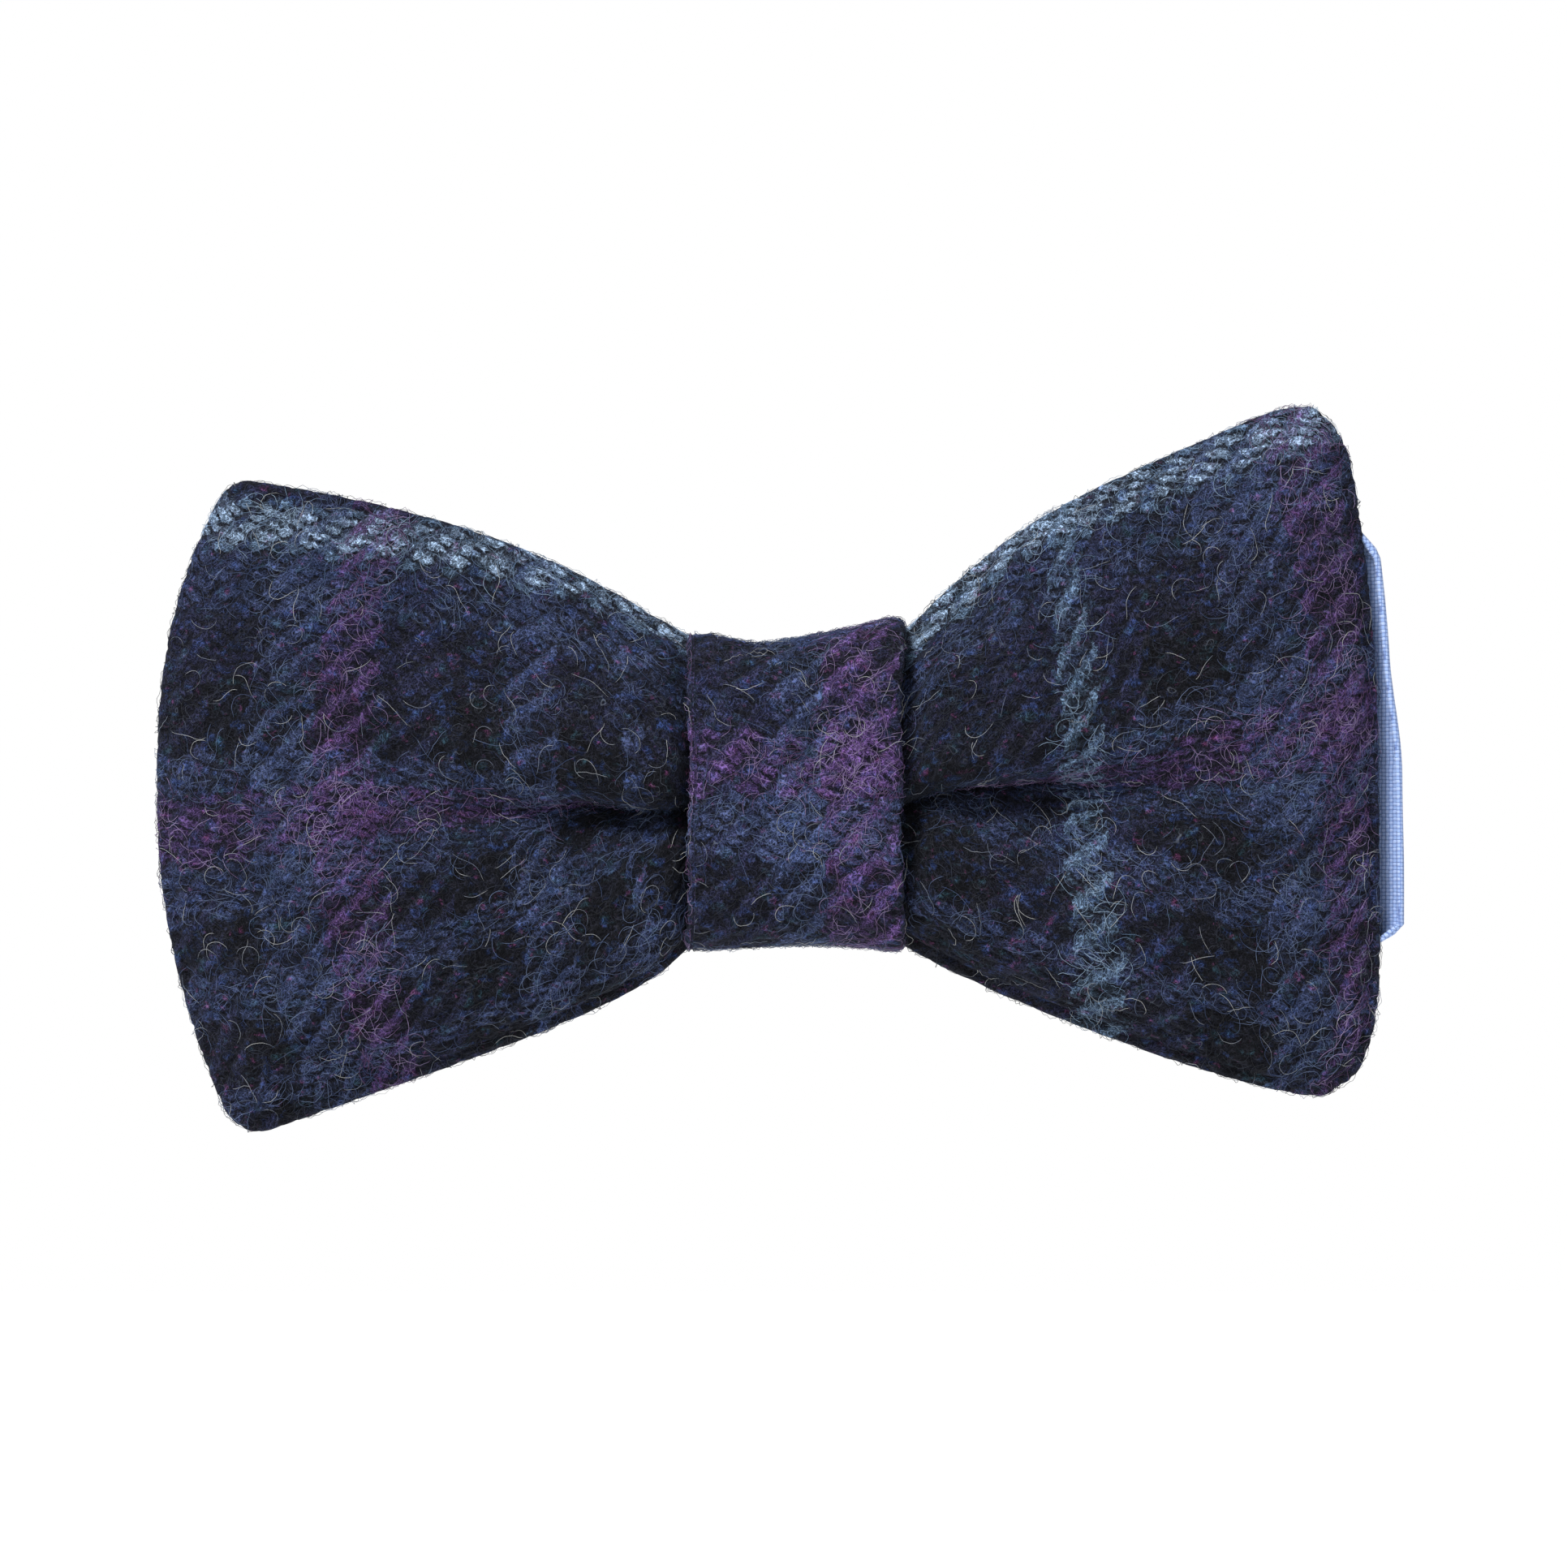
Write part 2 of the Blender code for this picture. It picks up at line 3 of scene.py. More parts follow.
import bmesh
import bpy
import numpy as np
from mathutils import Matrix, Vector


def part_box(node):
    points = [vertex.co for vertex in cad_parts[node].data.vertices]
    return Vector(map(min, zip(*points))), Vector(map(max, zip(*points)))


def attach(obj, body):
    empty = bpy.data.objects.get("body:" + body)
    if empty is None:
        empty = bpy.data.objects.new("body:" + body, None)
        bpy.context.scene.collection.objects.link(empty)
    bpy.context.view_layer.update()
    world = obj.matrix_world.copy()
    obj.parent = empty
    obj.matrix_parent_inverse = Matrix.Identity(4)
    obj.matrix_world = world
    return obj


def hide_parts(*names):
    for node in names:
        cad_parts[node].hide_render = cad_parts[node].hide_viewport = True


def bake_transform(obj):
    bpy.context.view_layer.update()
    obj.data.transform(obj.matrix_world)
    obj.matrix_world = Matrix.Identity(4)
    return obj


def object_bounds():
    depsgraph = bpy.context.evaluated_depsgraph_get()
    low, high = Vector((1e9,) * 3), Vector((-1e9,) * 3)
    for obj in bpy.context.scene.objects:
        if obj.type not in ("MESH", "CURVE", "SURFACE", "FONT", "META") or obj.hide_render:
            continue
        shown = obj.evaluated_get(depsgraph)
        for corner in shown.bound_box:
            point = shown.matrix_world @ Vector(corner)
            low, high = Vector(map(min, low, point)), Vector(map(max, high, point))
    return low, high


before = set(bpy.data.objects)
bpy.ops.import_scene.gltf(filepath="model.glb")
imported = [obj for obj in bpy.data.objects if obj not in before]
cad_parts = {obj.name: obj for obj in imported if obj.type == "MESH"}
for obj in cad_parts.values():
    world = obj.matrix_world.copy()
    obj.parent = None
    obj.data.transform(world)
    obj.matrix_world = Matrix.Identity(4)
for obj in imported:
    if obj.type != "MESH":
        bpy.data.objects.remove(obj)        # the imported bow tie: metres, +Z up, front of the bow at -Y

CAD_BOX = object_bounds()
MM = 0.001               # shapes below are worked out in millimetres
rng = np.random.default_rng(14)

# ---------------------------------------------------------------- sizes, mm
YARN = 1.05              # tweed yarn pitch, both ways
RELIEF = 0.26            # height of a yarn float
SPACING = 0.30           # mesh spacing that carries the twill
BOW_MID_Y = -9.0
EDGE_HALF = 1.15         # half thickness of the folded edge
WAIST_PINCH = 0.14
WAIST_PUFF = 4.2
LOBE_PUFF = 6.6
OUTER_PUFF = 3.4
BACK_PUFF = 2.7
PLEAT_DEPTH = 10.8
PLEAT_HALF_WIDTH = 0.080
PLEAT_REACH = 0.90
OVERHANG = 3.4           # the upper lobe hangs over the pleat by this much
CLOTH_HALF = 34.5        # half height of the flat cloth before it is gathered
ROLL_ANGLE = math.radians(150)
ROLL_STEPS = 10          # grid steps round a folded edge
WAIST_STEPS = 24         # grid steps through the knot
ROW_COUNT = 204
COARSE = 4               # inner faces are this many times coarser
TWEED_THICK = 1.0
SETTLE_SCALE = 0.1       # the simulated copy is built at ten millimetres to the unit
SETTLE_SLACK = 0.03
SETTLE_PUFF = 0.1
SETTLE_FRAMES = 26
SETTLE_MOST = 1.4
COTTON_THICK = 0.35
COTTON_PITCH = 0.37      # cotton thread pitch
LINING_SPACING = 0.9
LINING_ROLL_STEPS = 6
LINING_BILLOW = 2.8      # lining standing past the tweed at the right end
WADDING_INSET = 2.4      # wadding's front behind the tweed's
WADDING_SHARE = (0.95, 0.89)
KNOT_HALF_WIDTH, KNOT_HALF_HEIGHT, KNOT_FOLD = 10.65, 15.4, 0.65
KNOT_TOP = ((-10.6, -8.5, -4.0, 0.5, 5.0, 9.0, 10.6),   # x, and height of the top edge there
            (-1.0, -0.7, -1.3, -0.5, 0.2, 0.8, 0.5))
KNOT_CORNERS = {"back": 2.4, "front_top": 6.2, "front_bottom": 5.4}
KNOT_CANVAS_SHARE = 0.84
BAND_HALF_HEIGHT, BAND_HALF_THICKNESS = 9.5, 0.7
BAND_FRONT_Y, BAND_FLAT_HALF, BAND_HALF_SPAN = -3.2, 13.0, 54.0
BAND_ARC_DEPTH, BAND_SIDE_RUN = 44.0, 40.0
SIDE_START_Y = BAND_FRONT_Y + BAND_ARC_DEPTH
SIDE_END_Y = SIDE_START_Y + BAND_SIDE_RUN
BAND_BACK_Y = SIDE_END_Y + BAND_ARC_DEPTH
PLAN_SPACING, LAYER_GAP, HINGE_BLEND = 1.2, 0.35, 4.0
TURN_RADIUS, FASTENER_BAR_X = 1.55, 9.5
FIBRE_STEPS = 12
BOW_FIBRES, KNOT_FIBRES = 11500, 5500
CREAM_SHARE = 0.048      # share of stray cream hairs among the loose fibres
# Loose fibres: name, greatest length, radius, share kept; then the dark and light tone of each
FIBRES = [("cream", 4.6, 0.019, 1.0), ("sky", 4.0, 0.022, 1.0), ("blue", 4.5, 0.022, 0.9),
          ("ink", 4.5, 0.026, 0.30), ("plum", 3.8, 0.023, 1.0)]
FIBRE_TONES = [((0.15, 0.18, 0.25), (0.46, 0.47, 0.46)),
               ((0.07, 0.13, 0.23), (0.26, 0.36, 0.48)),
               ((0.017, 0.034, 0.100), (0.105, 0.145, 0.250)),
               ((0.003, 0.004, 0.006), (0.016, 0.022, 0.038)),
               ((0.085, 0.038, 0.11), (0.26, 0.20, 0.36))]
SHED = {"pale": 1, "haze": 1, "blue": 2, "navy": 3, "black": 3, "purple": 4}

# Stage, metres
VIEW_WIDTH = 0.15305     # width of the view at the front of the bow
VIEW_DISTANCE = 0.70
VIEW_CENTRE = (-0.00115, 0.00032)
FLOOR_DROP = 0.30
AMBIENT = 0.27           # studio light from all round; the backdrop itself is white
KEY_FROM, KEY_STRENGTH, KEY_SPREAD = (-0.42, -0.54, 0.78), 4.2, math.radians(22)
FILL_FROM, FILL_STRENGTH, FILL_SPREAD = (0.80, -0.55, 0.25), 0.45, math.radians(60)

# Wing outlines, inside the rolled edge: Bezier x, z points from waist to corner. The powers
# shape the rounded end and the corners' radii round it off, each for the bottom and the top.
WINGS = {
    1: {"top": [(9.6, 12.6), (23.7, 26.6), (24.2, 26.0), (52.3, 38.1)],
        "bottom": [(9.6, -13.1), (12.1, -16.9), (47.2, -30.6), (53.2, -29.2)],
        "bulge": 3.5, "powers": (8.0, 2.0), "pleat": (0.03, -0.04), "corners": (2.4, 7.0)},
    -1: {"top": [(-9.6, 13.2), (-17.2, 16.7), (-24.6, 24.9), (-55.0, 29.2)],
         "bottom": [(-9.6, -12.0), (-12.2, -19.3), (-24.1, -22.7), (-54.2, -33.4)],
         "bulge": 7.1, "powers": (2.0, 2.6), "pleat": (0.02, -0.05), "corners": (2.8, 1.4)},
}

# Check pattern as threads and yarn, counted from the left end and from the bottom.
WARP_SETT = [(5, "navy"), (4, "black"), (6, "blue"), (6, "purple"), (6, "navy"), (6, "black"),
             (5, "blue"), (6, "black"), (2, "blue"), (5, "black"), (19, "navy"), (8, "black"),
             (7, "navy"), (4, "haze"), (5, "navy"), (8, "black"), (7, "blue"), (5, "purple"),
             (8, "navy")]
WEFT_SETT = [(6, "black"), (3, "blue"), (7, "black"), (5, "blue"), (6, "black"), (6, "blue"),
             (7, "purple"), (4, "blue"), (7, "black"), (7, "navy"), (6, "blue"), (1, "haze"),
             (4, "pale"), (1, "haze"), (4, "navy")]
KNOT_WARP = [(8, "navy"), (5, "blue"), (7, "purple"), (4, "navy")]
KNOT_WEFT = [(9, "black"), (6, "blue"), (6, "purple"), (5, "navy"), (6, "black"), (6, "blue")]
WARP_START, WEFT_START = -63.0, -36.3

# Yarn colours, and how far each cloth is brightened; the knot's higher gain is painted highlight, the
# same yarns made lighter where the knot's fuzz catches more light
YARNS = {"navy": (0.0046, 0.0050, 0.0130), "black": (0.0008, 0.0007, 0.0008),
         "blue": (0.0115, 0.0160, 0.0370), "purple": (0.0230, 0.0125, 0.0420),
         "pale": (0.0950, 0.1350, 0.1950), "haze": (0.0340, 0.0550, 0.0880)}
BOW_GAIN, KNOT_GAIN = 0.84, 1.20


# ---------------------------------------------------------------- node helpers
class Graph:
    """Short names for the shader nodes that the materials are made of."""

    def __init__(self, name, roughness=0.9, metallic=0.0):
        self.material = bpy.data.materials.new(name)
        self.material.use_nodes = True
        self.tree = self.material.node_tree
        self.shader = self.tree.nodes["Principled BSDF"]
        self.shader.inputs["Roughness"].default_value = roughness
        self.shader.inputs["Metallic"].default_value = metallic

    def node(self, kind, **settings):
        made = self.tree.nodes.new(kind)
        for key, value in settings.items():
            setattr(made, key, value)
        return made

    def link(self, value, socket):
        if isinstance(value, bpy.types.NodeSocket):
            self.tree.links.new(value, socket)
        else:
            socket.default_value = value

    def math(self, operation, *values):
        made = self.node("ShaderNodeMath", operation=operation)
        for value, socket in zip(values, made.inputs):
            self.link(value, socket)
        return made.outputs[0]

    def plus(self, a, b):
        return self.math("ADD", a, b)

    def minus(self, a, b):
        return self.math("SUBTRACT", a, b)

    def times(self, a, b):
        return self.math("MULTIPLY", a, b)

    def mix(self, factor, a, b, blend="MIX"):
        made = self.node("ShaderNodeMix", data_type="RGBA", blend_type=blend)
        self.link(factor, made.inputs[0])
        for value, socket in ((a, made.inputs[6]), (b, made.inputs[7])):
            self.link((*value, 1.0) if isinstance(value, tuple) else value, socket)
        return made.outputs[2]

    def remap(self, value, low, high, to_low=0.0, to_high=1.0, smooth=True):
        kind = "SMOOTHSTEP" if smooth else "LINEAR"
        made = self.node("ShaderNodeMapRange", interpolation_type=kind)
        for entry, socket in zip((value, low, high, to_low, to_high), made.inputs):
            self.link(entry, socket)
        return made.outputs[0]

    def noise(self, vector, scale, detail=2.0, roughness=0.5, distortion=0.0):
        made = self.node("ShaderNodeTexNoise")
        self.link(vector, made.inputs["Vector"])
        for key, value in (("Scale", scale), ("Detail", detail), ("Roughness", roughness),
                           ("Distortion", distortion)):
            made.inputs[key].default_value = value
        return made.outputs["Fac"]

    def sway(self, vector, scale, size):
        """Soft noise round zero, about half of size either way."""
        return self.times(self.minus(self.noise(vector, scale), 0.5), size)

    def position(self):
        return self.node("ShaderNodeTexCoord").outputs["Object"]

    def uv(self, name):
        split = self.node("ShaderNodeSeparateXYZ")
        self.link(self.node("ShaderNodeUVMap", uv_map=name).outputs[0], split.inputs[0])
        return split.outputs[0], split.outputs[1]

    def combine(self, x, y, z=0.0):
        made = self.node("ShaderNodeCombineXYZ")
        for value, socket in zip((x, y, z), made.inputs):
            self.link(value, socket)
        return made.outputs[0]

    def stretch(self, vector, scale, turn=0.0):
        made = self.node("ShaderNodeMapping")
        self.link(vector, made.inputs["Vector"])
        made.inputs["Scale"].default_value = scale
        made.inputs["Rotation"].default_value = (0.0, 0.0, turn)
        return made.outputs[0]

    def strands(self, vector, scale, bands, width, detail=1.0):
        """Thin winding lines, like loose curly fibres: level lines of a noise field."""
        level = self.math("FRACT", self.times(self.noise(vector, scale, detail), bands))
        off = self.math("ABSOLUTE", self.minus(level, 0.5))
        return self.remap(off, 0.0, width, 1.0, 0.0)

    def colour_bands(self, position, bands, colours):
        """Colour at a place counted in threads along a list of (threads, colour name)."""
        total = sum(count for count, _ in bands)
        ramp = self.node("ShaderNodeValToRGB")
        ramp.color_ramp.interpolation = "CONSTANT"
        self.link(self.math("DIVIDE", position, float(total)), ramp.inputs[0])
        start = 0
        stops = ramp.color_ramp.elements
        for index, (count, name) in enumerate(bands):
            stop = stops.new(start / total) if index else stops[0]
            stop.position = start / total
            stop.color = (*colours[name], 1.0)
            start += count
        while len(stops) > len(bands):
            stops.remove(stops[len(stops) - 1])
        return ramp.outputs[0]

    def bump(self, height, strength, distance, under=None):
        made = self.node("ShaderNodeBump")
        self.link(height, made.inputs["Height"])
        made.inputs["Strength"].default_value = strength
        made.inputs["Distance"].default_value = distance
        if under is not None:
            self.link(under, made.inputs["Normal"])
        return made.outputs[0]


# ---------------------------------------------------------------- twill
SLANT = 0.42             # lean of a warp float, threads across per thread along
WEFT_SLANT = 0.30
FLOAT_HALF_WIDTH, FLOAT_HALF_LENGTH = 0.62, 1.75


def twill(u, v):
    """Height of a 2/2 twill at yarn coordinates: warp dome, weft dome."""
    def wrap(value):
        return value - 4 * np.round(value / 4)

    def dome(along, across, lean):
        column = np.floor(across)
        off = wrap(along - column)
        column = np.floor(across - lean * off)
        off = wrap(along - column)
        side = across - column - 0.5 - lean * off
        return 1 - (side / FLOAT_HALF_WIDTH) ** 2 - (off / FLOAT_HALF_LENGTH) ** 2

    return dome(v, u, SLANT), dome(u - 2, v, -WEFT_SLANT)


def twill_height(u, v):
    warp, weft = twill(u, v)
    return np.sqrt(np.clip(np.maximum(warp, weft), 0.0, 1.0))


def twill_nodes(g, u, v):
    """The same twill as shader nodes: (is warp on top, dome height, warp column, weft row)."""
    def wrap(value):
        turns = g.math("ROUND", g.math("DIVIDE", value, 4.0))
        return g.minus(value, g.times(turns, 4.0))

    def square(value, size):
        return g.math("POWER", g.math("ABSOLUTE", g.math("DIVIDE", value, size)), 2.0)

    def dome(along, across, lean):
        column = g.math("FLOOR", across)
        off = wrap(g.minus(along, column))
        column = g.math("FLOOR", g.minus(across, g.times(off, lean)))
        off = wrap(g.minus(along, column))
        side = g.minus(g.minus(across, column), 0.5)
        side = g.minus(side, g.times(off, lean))
        width, length = square(side, FLOAT_HALF_WIDTH), square(off, FLOAT_HALF_LENGTH)
        return g.minus(g.minus(1.0, width), length), column

    warp, column = dome(v, u, SLANT)
    weft, row = dome(g.minus(u, 2.0), v, -WEFT_SLANT)
    over = g.remap(g.minus(warp, weft), -0.08, 0.08)
    top = g.math("SQRT", g.math("MAXIMUM", g.math("MAXIMUM", warp, weft), 0.0))
    return over, top, g.plus(column, 0.5), g.plus(row, 0.5)


def tweed_material(name, warp_sett, weft_sett, gain):
    """Brushed wool twill: check-coloured floats under a tangle of loose fibres."""
    g = Graph(name, roughness=0.95)
    shader = g.shader
    shader.inputs["Specular IOR Level"].default_value = 0.10
    shader.inputs["Sheen Weight"].default_value = 0.05
    shader.inputs["Sheen Roughness"].default_value = 0.55
    shader.inputs["Sheen Tint"].default_value = (0.55, 0.66, 1.0, 1.0)
    here = g.position()
    u, v = g.uv("yarns")

    def wander(value, scale, size):
        return g.plus(value, g.sway(here, scale, size))

    over, top, column, row = twill_nodes(g, wander(u, 1300.0, 1.4), wander(v, 1500.0, 1.4))
    # The cloth's gain on every yarn colour; on the knot it is painted highlight.
    scaled_yarns = {key: tuple(gain * part for part in value) for key, value in YARNS.items()}
    warp = g.colour_bands(column, warp_sett, scaled_yarns)
    weft = g.colour_bands(row, weft_sett, scaled_yarns)
    share = g.plus(g.remap(over, 0.0, 1.0, 0.22, 0.80, False), g.sway(here, 850.0, 1.1))
    colour = g.mix(g.math("MINIMUM", g.math("MAXIMUM", share, 0.06), 0.94), weft, warp)

    # Heathered yarn: patches that are darker, bluer, greener or a little plum
    worn = g.remap(g.noise(here, 270.0, 3.0, 0.6), 0.50, 0.68, 0.0, 0.60)
    colour = g.mix(worn, colour, (0.0030, 0.0036, 0.0080))
    for scale, low, high, strength, tone in (
            (1500.0, 0.50, 0.70, 0.75, (0.003, 0.003, 0.004)),
            (620.0, 0.52, 0.72, 0.32, (0.010, 0.022, 0.075)),
            (540.0, 0.55, 0.72, 0.25, (0.010, 0.030, 0.042)),
            (760.0, 0.60, 0.72, 0.35, (0.050, 0.012, 0.040))):
        patch = g.noise(g.stretch(here, (1.0, 1.0, 1.0 + scale / 3000.0)), scale, 3.0, 0.6)
        colour = g.mix(g.remap(patch, low, high, 0.0, strength), colour, tone)
    # Painted shade: the colour darkens to near black in the gaps between the yarn floats, where the dome
    # is low.
    gap_shade = g.remap(top, 0.1, 0.95, 0.92, 0.0)
    colour = g.mix(gap_shade, colour, (0.002, 0.002, 0.003))

    # Fibres along the floats, then loose curly ones over everything
    twist_u, twist_v = wander(u, 900.0, 1.3), wander(v, 900.0, 1.3)
    along_warp = g.stretch(g.combine(twist_u, twist_v), (5.0, 1.3, 1.0), math.atan(SLANT))
    along_weft = g.stretch(g.combine(twist_u, twist_v), (1.3, 5.0, 1.0), math.atan(WEFT_SLANT))
    lines = g.mix(over, g.combine(g.strands(along_weft, 1.7, 3.0, 0.15), 0, 0),
                  g.combine(g.strands(along_warp, 1.7, 3.0, 0.15), 0, 0))
    split = g.node("ShaderNodeSeparateColor")
    g.link(lines, split.inputs[0])
    fuzz = split.outputs[0]
    # Painted highlight: the fibre lines stand for real loose fibres, but their colour is the yarn colour
    # made about eleven times brighter, as where the fibres catch the light.
    strong = g.mix(1.0, colour, (11.2, 10.9, 10.6), "MULTIPLY")
    lit = g.mix(0.06, strong, (0.08, 0.10, 0.16))
    colour = g.mix(g.times(fuzz, 0.60), colour, lit)
    # Strands with no tone of their own are drawn in that painted highlight colour too.
    for scale, bands, width, strength, low, tone in (
            (1250.0, 5.0, 0.15, 0.62, 0.30, None),
            (860.0, 5.0, 0.10, 0.62, 0.38, None),
            (1080.0, 5.0, 0.10, 0.58, 0.40, None),
            (700.0, 5.0, 0.10, 0.32, 0.55, (0.030, 0.048, 0.110)),
            (470.0, 6.0, 0.055, 0.50, 0.56, (0.130, 0.150, 0.190))):
        line = g.strands(here, scale, bands, width)
        gate = g.remap(g.noise(here, scale * 0.40, 1.0), low, low + 0.16, 0.0, 1.0)
        line = g.times(line, gate)
        shade = lit if tone is None else tone
        colour = g.mix(g.times(line, strength), colour, shade)
        fuzz = g.math("MAXIMUM", fuzz, line)
    g.link(colour, shader.inputs["Base Color"])
    relief = g.bump(top, 0.45, 0.00022)
    g.link(g.bump(fuzz, 0.7, 0.00009, relief), shader.inputs["Normal"])
    return g.material


def cotton_material(name):
    """Plain-weave cotton: fine over-and-under threads, with painted shade in the gaps between them, so
    the crowns read lighter.
    """
    g = Graph(name, roughness=0.85)
    g.shader.inputs["Specular IOR Level"].default_value = 0.25
    g.shader.inputs["Sheen Weight"].default_value = 0.12
    u, v = g.uv("threads")
    here = g.position()
    uneven = g.sway(here, 700.0, 0.5)
    u = g.plus(u, uneven)
    v = g.plus(v, uneven)
    wave_u = g.math("SINE", g.times(u, math.pi))
    wave_v = g.math("SINE", g.times(v, math.pi))
    crossing = g.times(wave_u, wave_v)
    rise_u = g.math("ABSOLUTE", wave_u)
    rise_v = g.math("ABSOLUTE", wave_v)
    over = g.remap(crossing, -0.1, 0.1)
    height = g.plus(g.times(over, rise_u), g.times(g.minus(1.0, over), rise_v))
    warp = g.mix(g.noise(here, 350.0, 3.0), (0.270, 0.395, 0.700), (0.375, 0.510, 0.830))
    weft = g.mix(g.noise(here, 420.0, 3.0), (0.330, 0.455, 0.770), (0.470, 0.580, 0.860))
    colour = g.mix(over, weft, warp)
    # Painted shade: the colour darkens towards deep blue in the gaps between threads.
    gap_shade = g.times(rise_u, rise_v)
    colour = g.mix(g.remap(gap_shade, 0.0, 0.45, 0.75, 0.0), colour, (0.060, 0.110, 0.330))
    g.link(colour, g.shader.inputs["Base Color"])
    g.link(g.bump(height, 0.5, 0.00006), g.shader.inputs["Normal"])
    return g.material


def thread_material(name, colour):
    """Spun thread: fine diagonal ply lines."""
    g = Graph(name, roughness=0.7)
    g.shader.inputs["Sheen Weight"].default_value = 0.2
    here = g.position()
    lines = g.strands(g.stretch(here, (1.0, 1.0, 0.35), 0.6), 2600.0, 2.0, 0.25)
    dark = tuple(0.55 * part for part in colour)
    g.link(g.mix(lines, dark, colour), g.shader.inputs["Base Color"])
    g.link(g.bump(lines, 0.4, 0.00005), g.shader.inputs["Normal"])
    return g.material


def canvas_material(name, colour):
    """Open plain weave, for the stiffener, and pressed wadding."""
    g = Graph(name, roughness=0.95)
    here = g.position()
    split = g.node("ShaderNodeSeparateXYZ")
    g.link(here, split.inputs[0])
    across = g.math("SINE", g.times(g.plus(split.outputs[0], split.outputs[1]), 8000.0))
    along = g.math("SINE", g.times(split.outputs[2], 8000.0))
    weave = g.plus(g.times(g.times(across, along), 0.5), 0.5)
    fleck = g.noise(here, 500.0, 3.0)
    tone = g.mix(fleck, tuple(0.75 * part for part in colour), colour)
    g.link(g.mix(g.times(weave, 0.4), tone, tuple(0.5 * part for part in colour)),
           g.shader.inputs["Base Color"])
    g.link(g.bump(weave, 0.4, 0.00008), g.shader.inputs["Normal"])
    return g.material


def metal_material(name):
    """Satin nickel plate with fine brushing and faint handling marks."""
    g = Graph(name, roughness=0.3, metallic=1.0)
    here = g.position()
    brushed = g.noise(g.stretch(here, (1.0, 1.0, 0.06)), 9000.0, 3.0, 0.6)
    worn = g.noise(here, 260.0, 4.0, 0.6)
    g.link(g.mix(worn, (0.40, 0.40, 0.39), (0.58, 0.57, 0.55)), g.shader.inputs["Base Color"])
    rough = g.plus(g.remap(worn, 0.3, 0.7, 0.20, 0.38), g.times(brushed, 0.06))
    g.link(rough, g.shader.inputs["Roughness"])
    g.link(g.bump(brushed, 0.12, 0.00002), g.shader.inputs["Normal"])
    return g.material


def fibre_material(name, dark, light):
    """One fibre shade, uneven from place to place."""
    g = Graph(name, roughness=0.6)
    g.shader.inputs["Specular IOR Level"].default_value = 0.3
    tone = g.remap(g.noise(g.position(), 300.0, 2.0), 0.35, 0.65)
    g.link(g.mix(tone, dark, light), g.shader.inputs["Base Color"])
    return g.material


# ---------------------------------------------------------------- mesh helpers
def smooth_step(value):
    value = np.clip(value, 0.0, 1.0)
    return value * value * (3 - 2 * value)


def unit(vectors):
    return vectors / np.maximum(np.linalg.norm(vectors, axis=-1, keepdims=True), 1e-9)


def running_length(points):
    """Distance along a path at each of its points."""
    return np.concatenate([[0], np.cumsum(np.linalg.norm(np.diff(points, axis=0), axis=1))])


def add_object(name, data):
    made = bpy.data.objects.new(name, data)
    bpy.context.scene.collection.objects.link(made)
    return made


def paint(mesh, finish):
    mesh.materials.clear()
    mesh.materials.append(finish)


def copy_of(node, name, finish):
    """A copy of a CAD node's mesh, as an object of its own."""
    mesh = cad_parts[node].data.copy()
    mesh.name = name
    paint(mesh, finish)
    return add_object(name, mesh)


def write_mesh(name, points, faces, finish, uv=None, uv_name="yarns"):
    """An object in metres from points in millimetres, faces as index tuples or arrays."""
    mesh = bpy.data.meshes.new(name)
    loops = np.concatenate([np.asarray(group).reshape(-1) for group in faces])
    sizes = np.concatenate([np.full(len(group), np.asarray(group).shape[1]) for group in faces])
    starts = np.concatenate([[0], np.cumsum(sizes)[:-1]])
    mesh.vertices.add(len(points))
    mesh.vertices.foreach_set("co", (np.asarray(points) * MM).astype(np.float32).ravel())
    mesh.loops.add(len(loops))
    mesh.loops.foreach_set("vertex_index", loops.astype(np.int32))
    mesh.polygons.add(len(sizes))
    mesh.polygons.foreach_set("loop_start", starts.astype(np.int32))
    mesh.update(calc_edges=True)
    mesh.validate()
    if uv is not None:
        layer = mesh.uv_layers.new(name=uv_name)
        layer.data.foreach_set("uv", np.asarray(uv)[loops].astype(np.float32).ravel())
    mesh.shade_smooth()
    mesh.materials.append(finish)
    return add_object(name, mesh)


def grid_normals(points):
    """Unit normals of a grid of points, on the side of rows cross columns."""
    down = np.gradient(points, axis=0)
    across = np.gradient(points, axis=1)
    return unit(np.cross(down, across))


def quads(index):
    corners = (index[:-1, :-1], index[1:, :-1], index[1:, 1:], index[:-1, 1:])
    return np.stack(corners, -1).reshape(-1, 4)


def boundary(index):
    """The point numbers of a grid's rim, once round."""
    return np.concatenate([index[:-1, 0], index[-1, :-1], index[:0:-1, -1], index[0, :0:-1]])


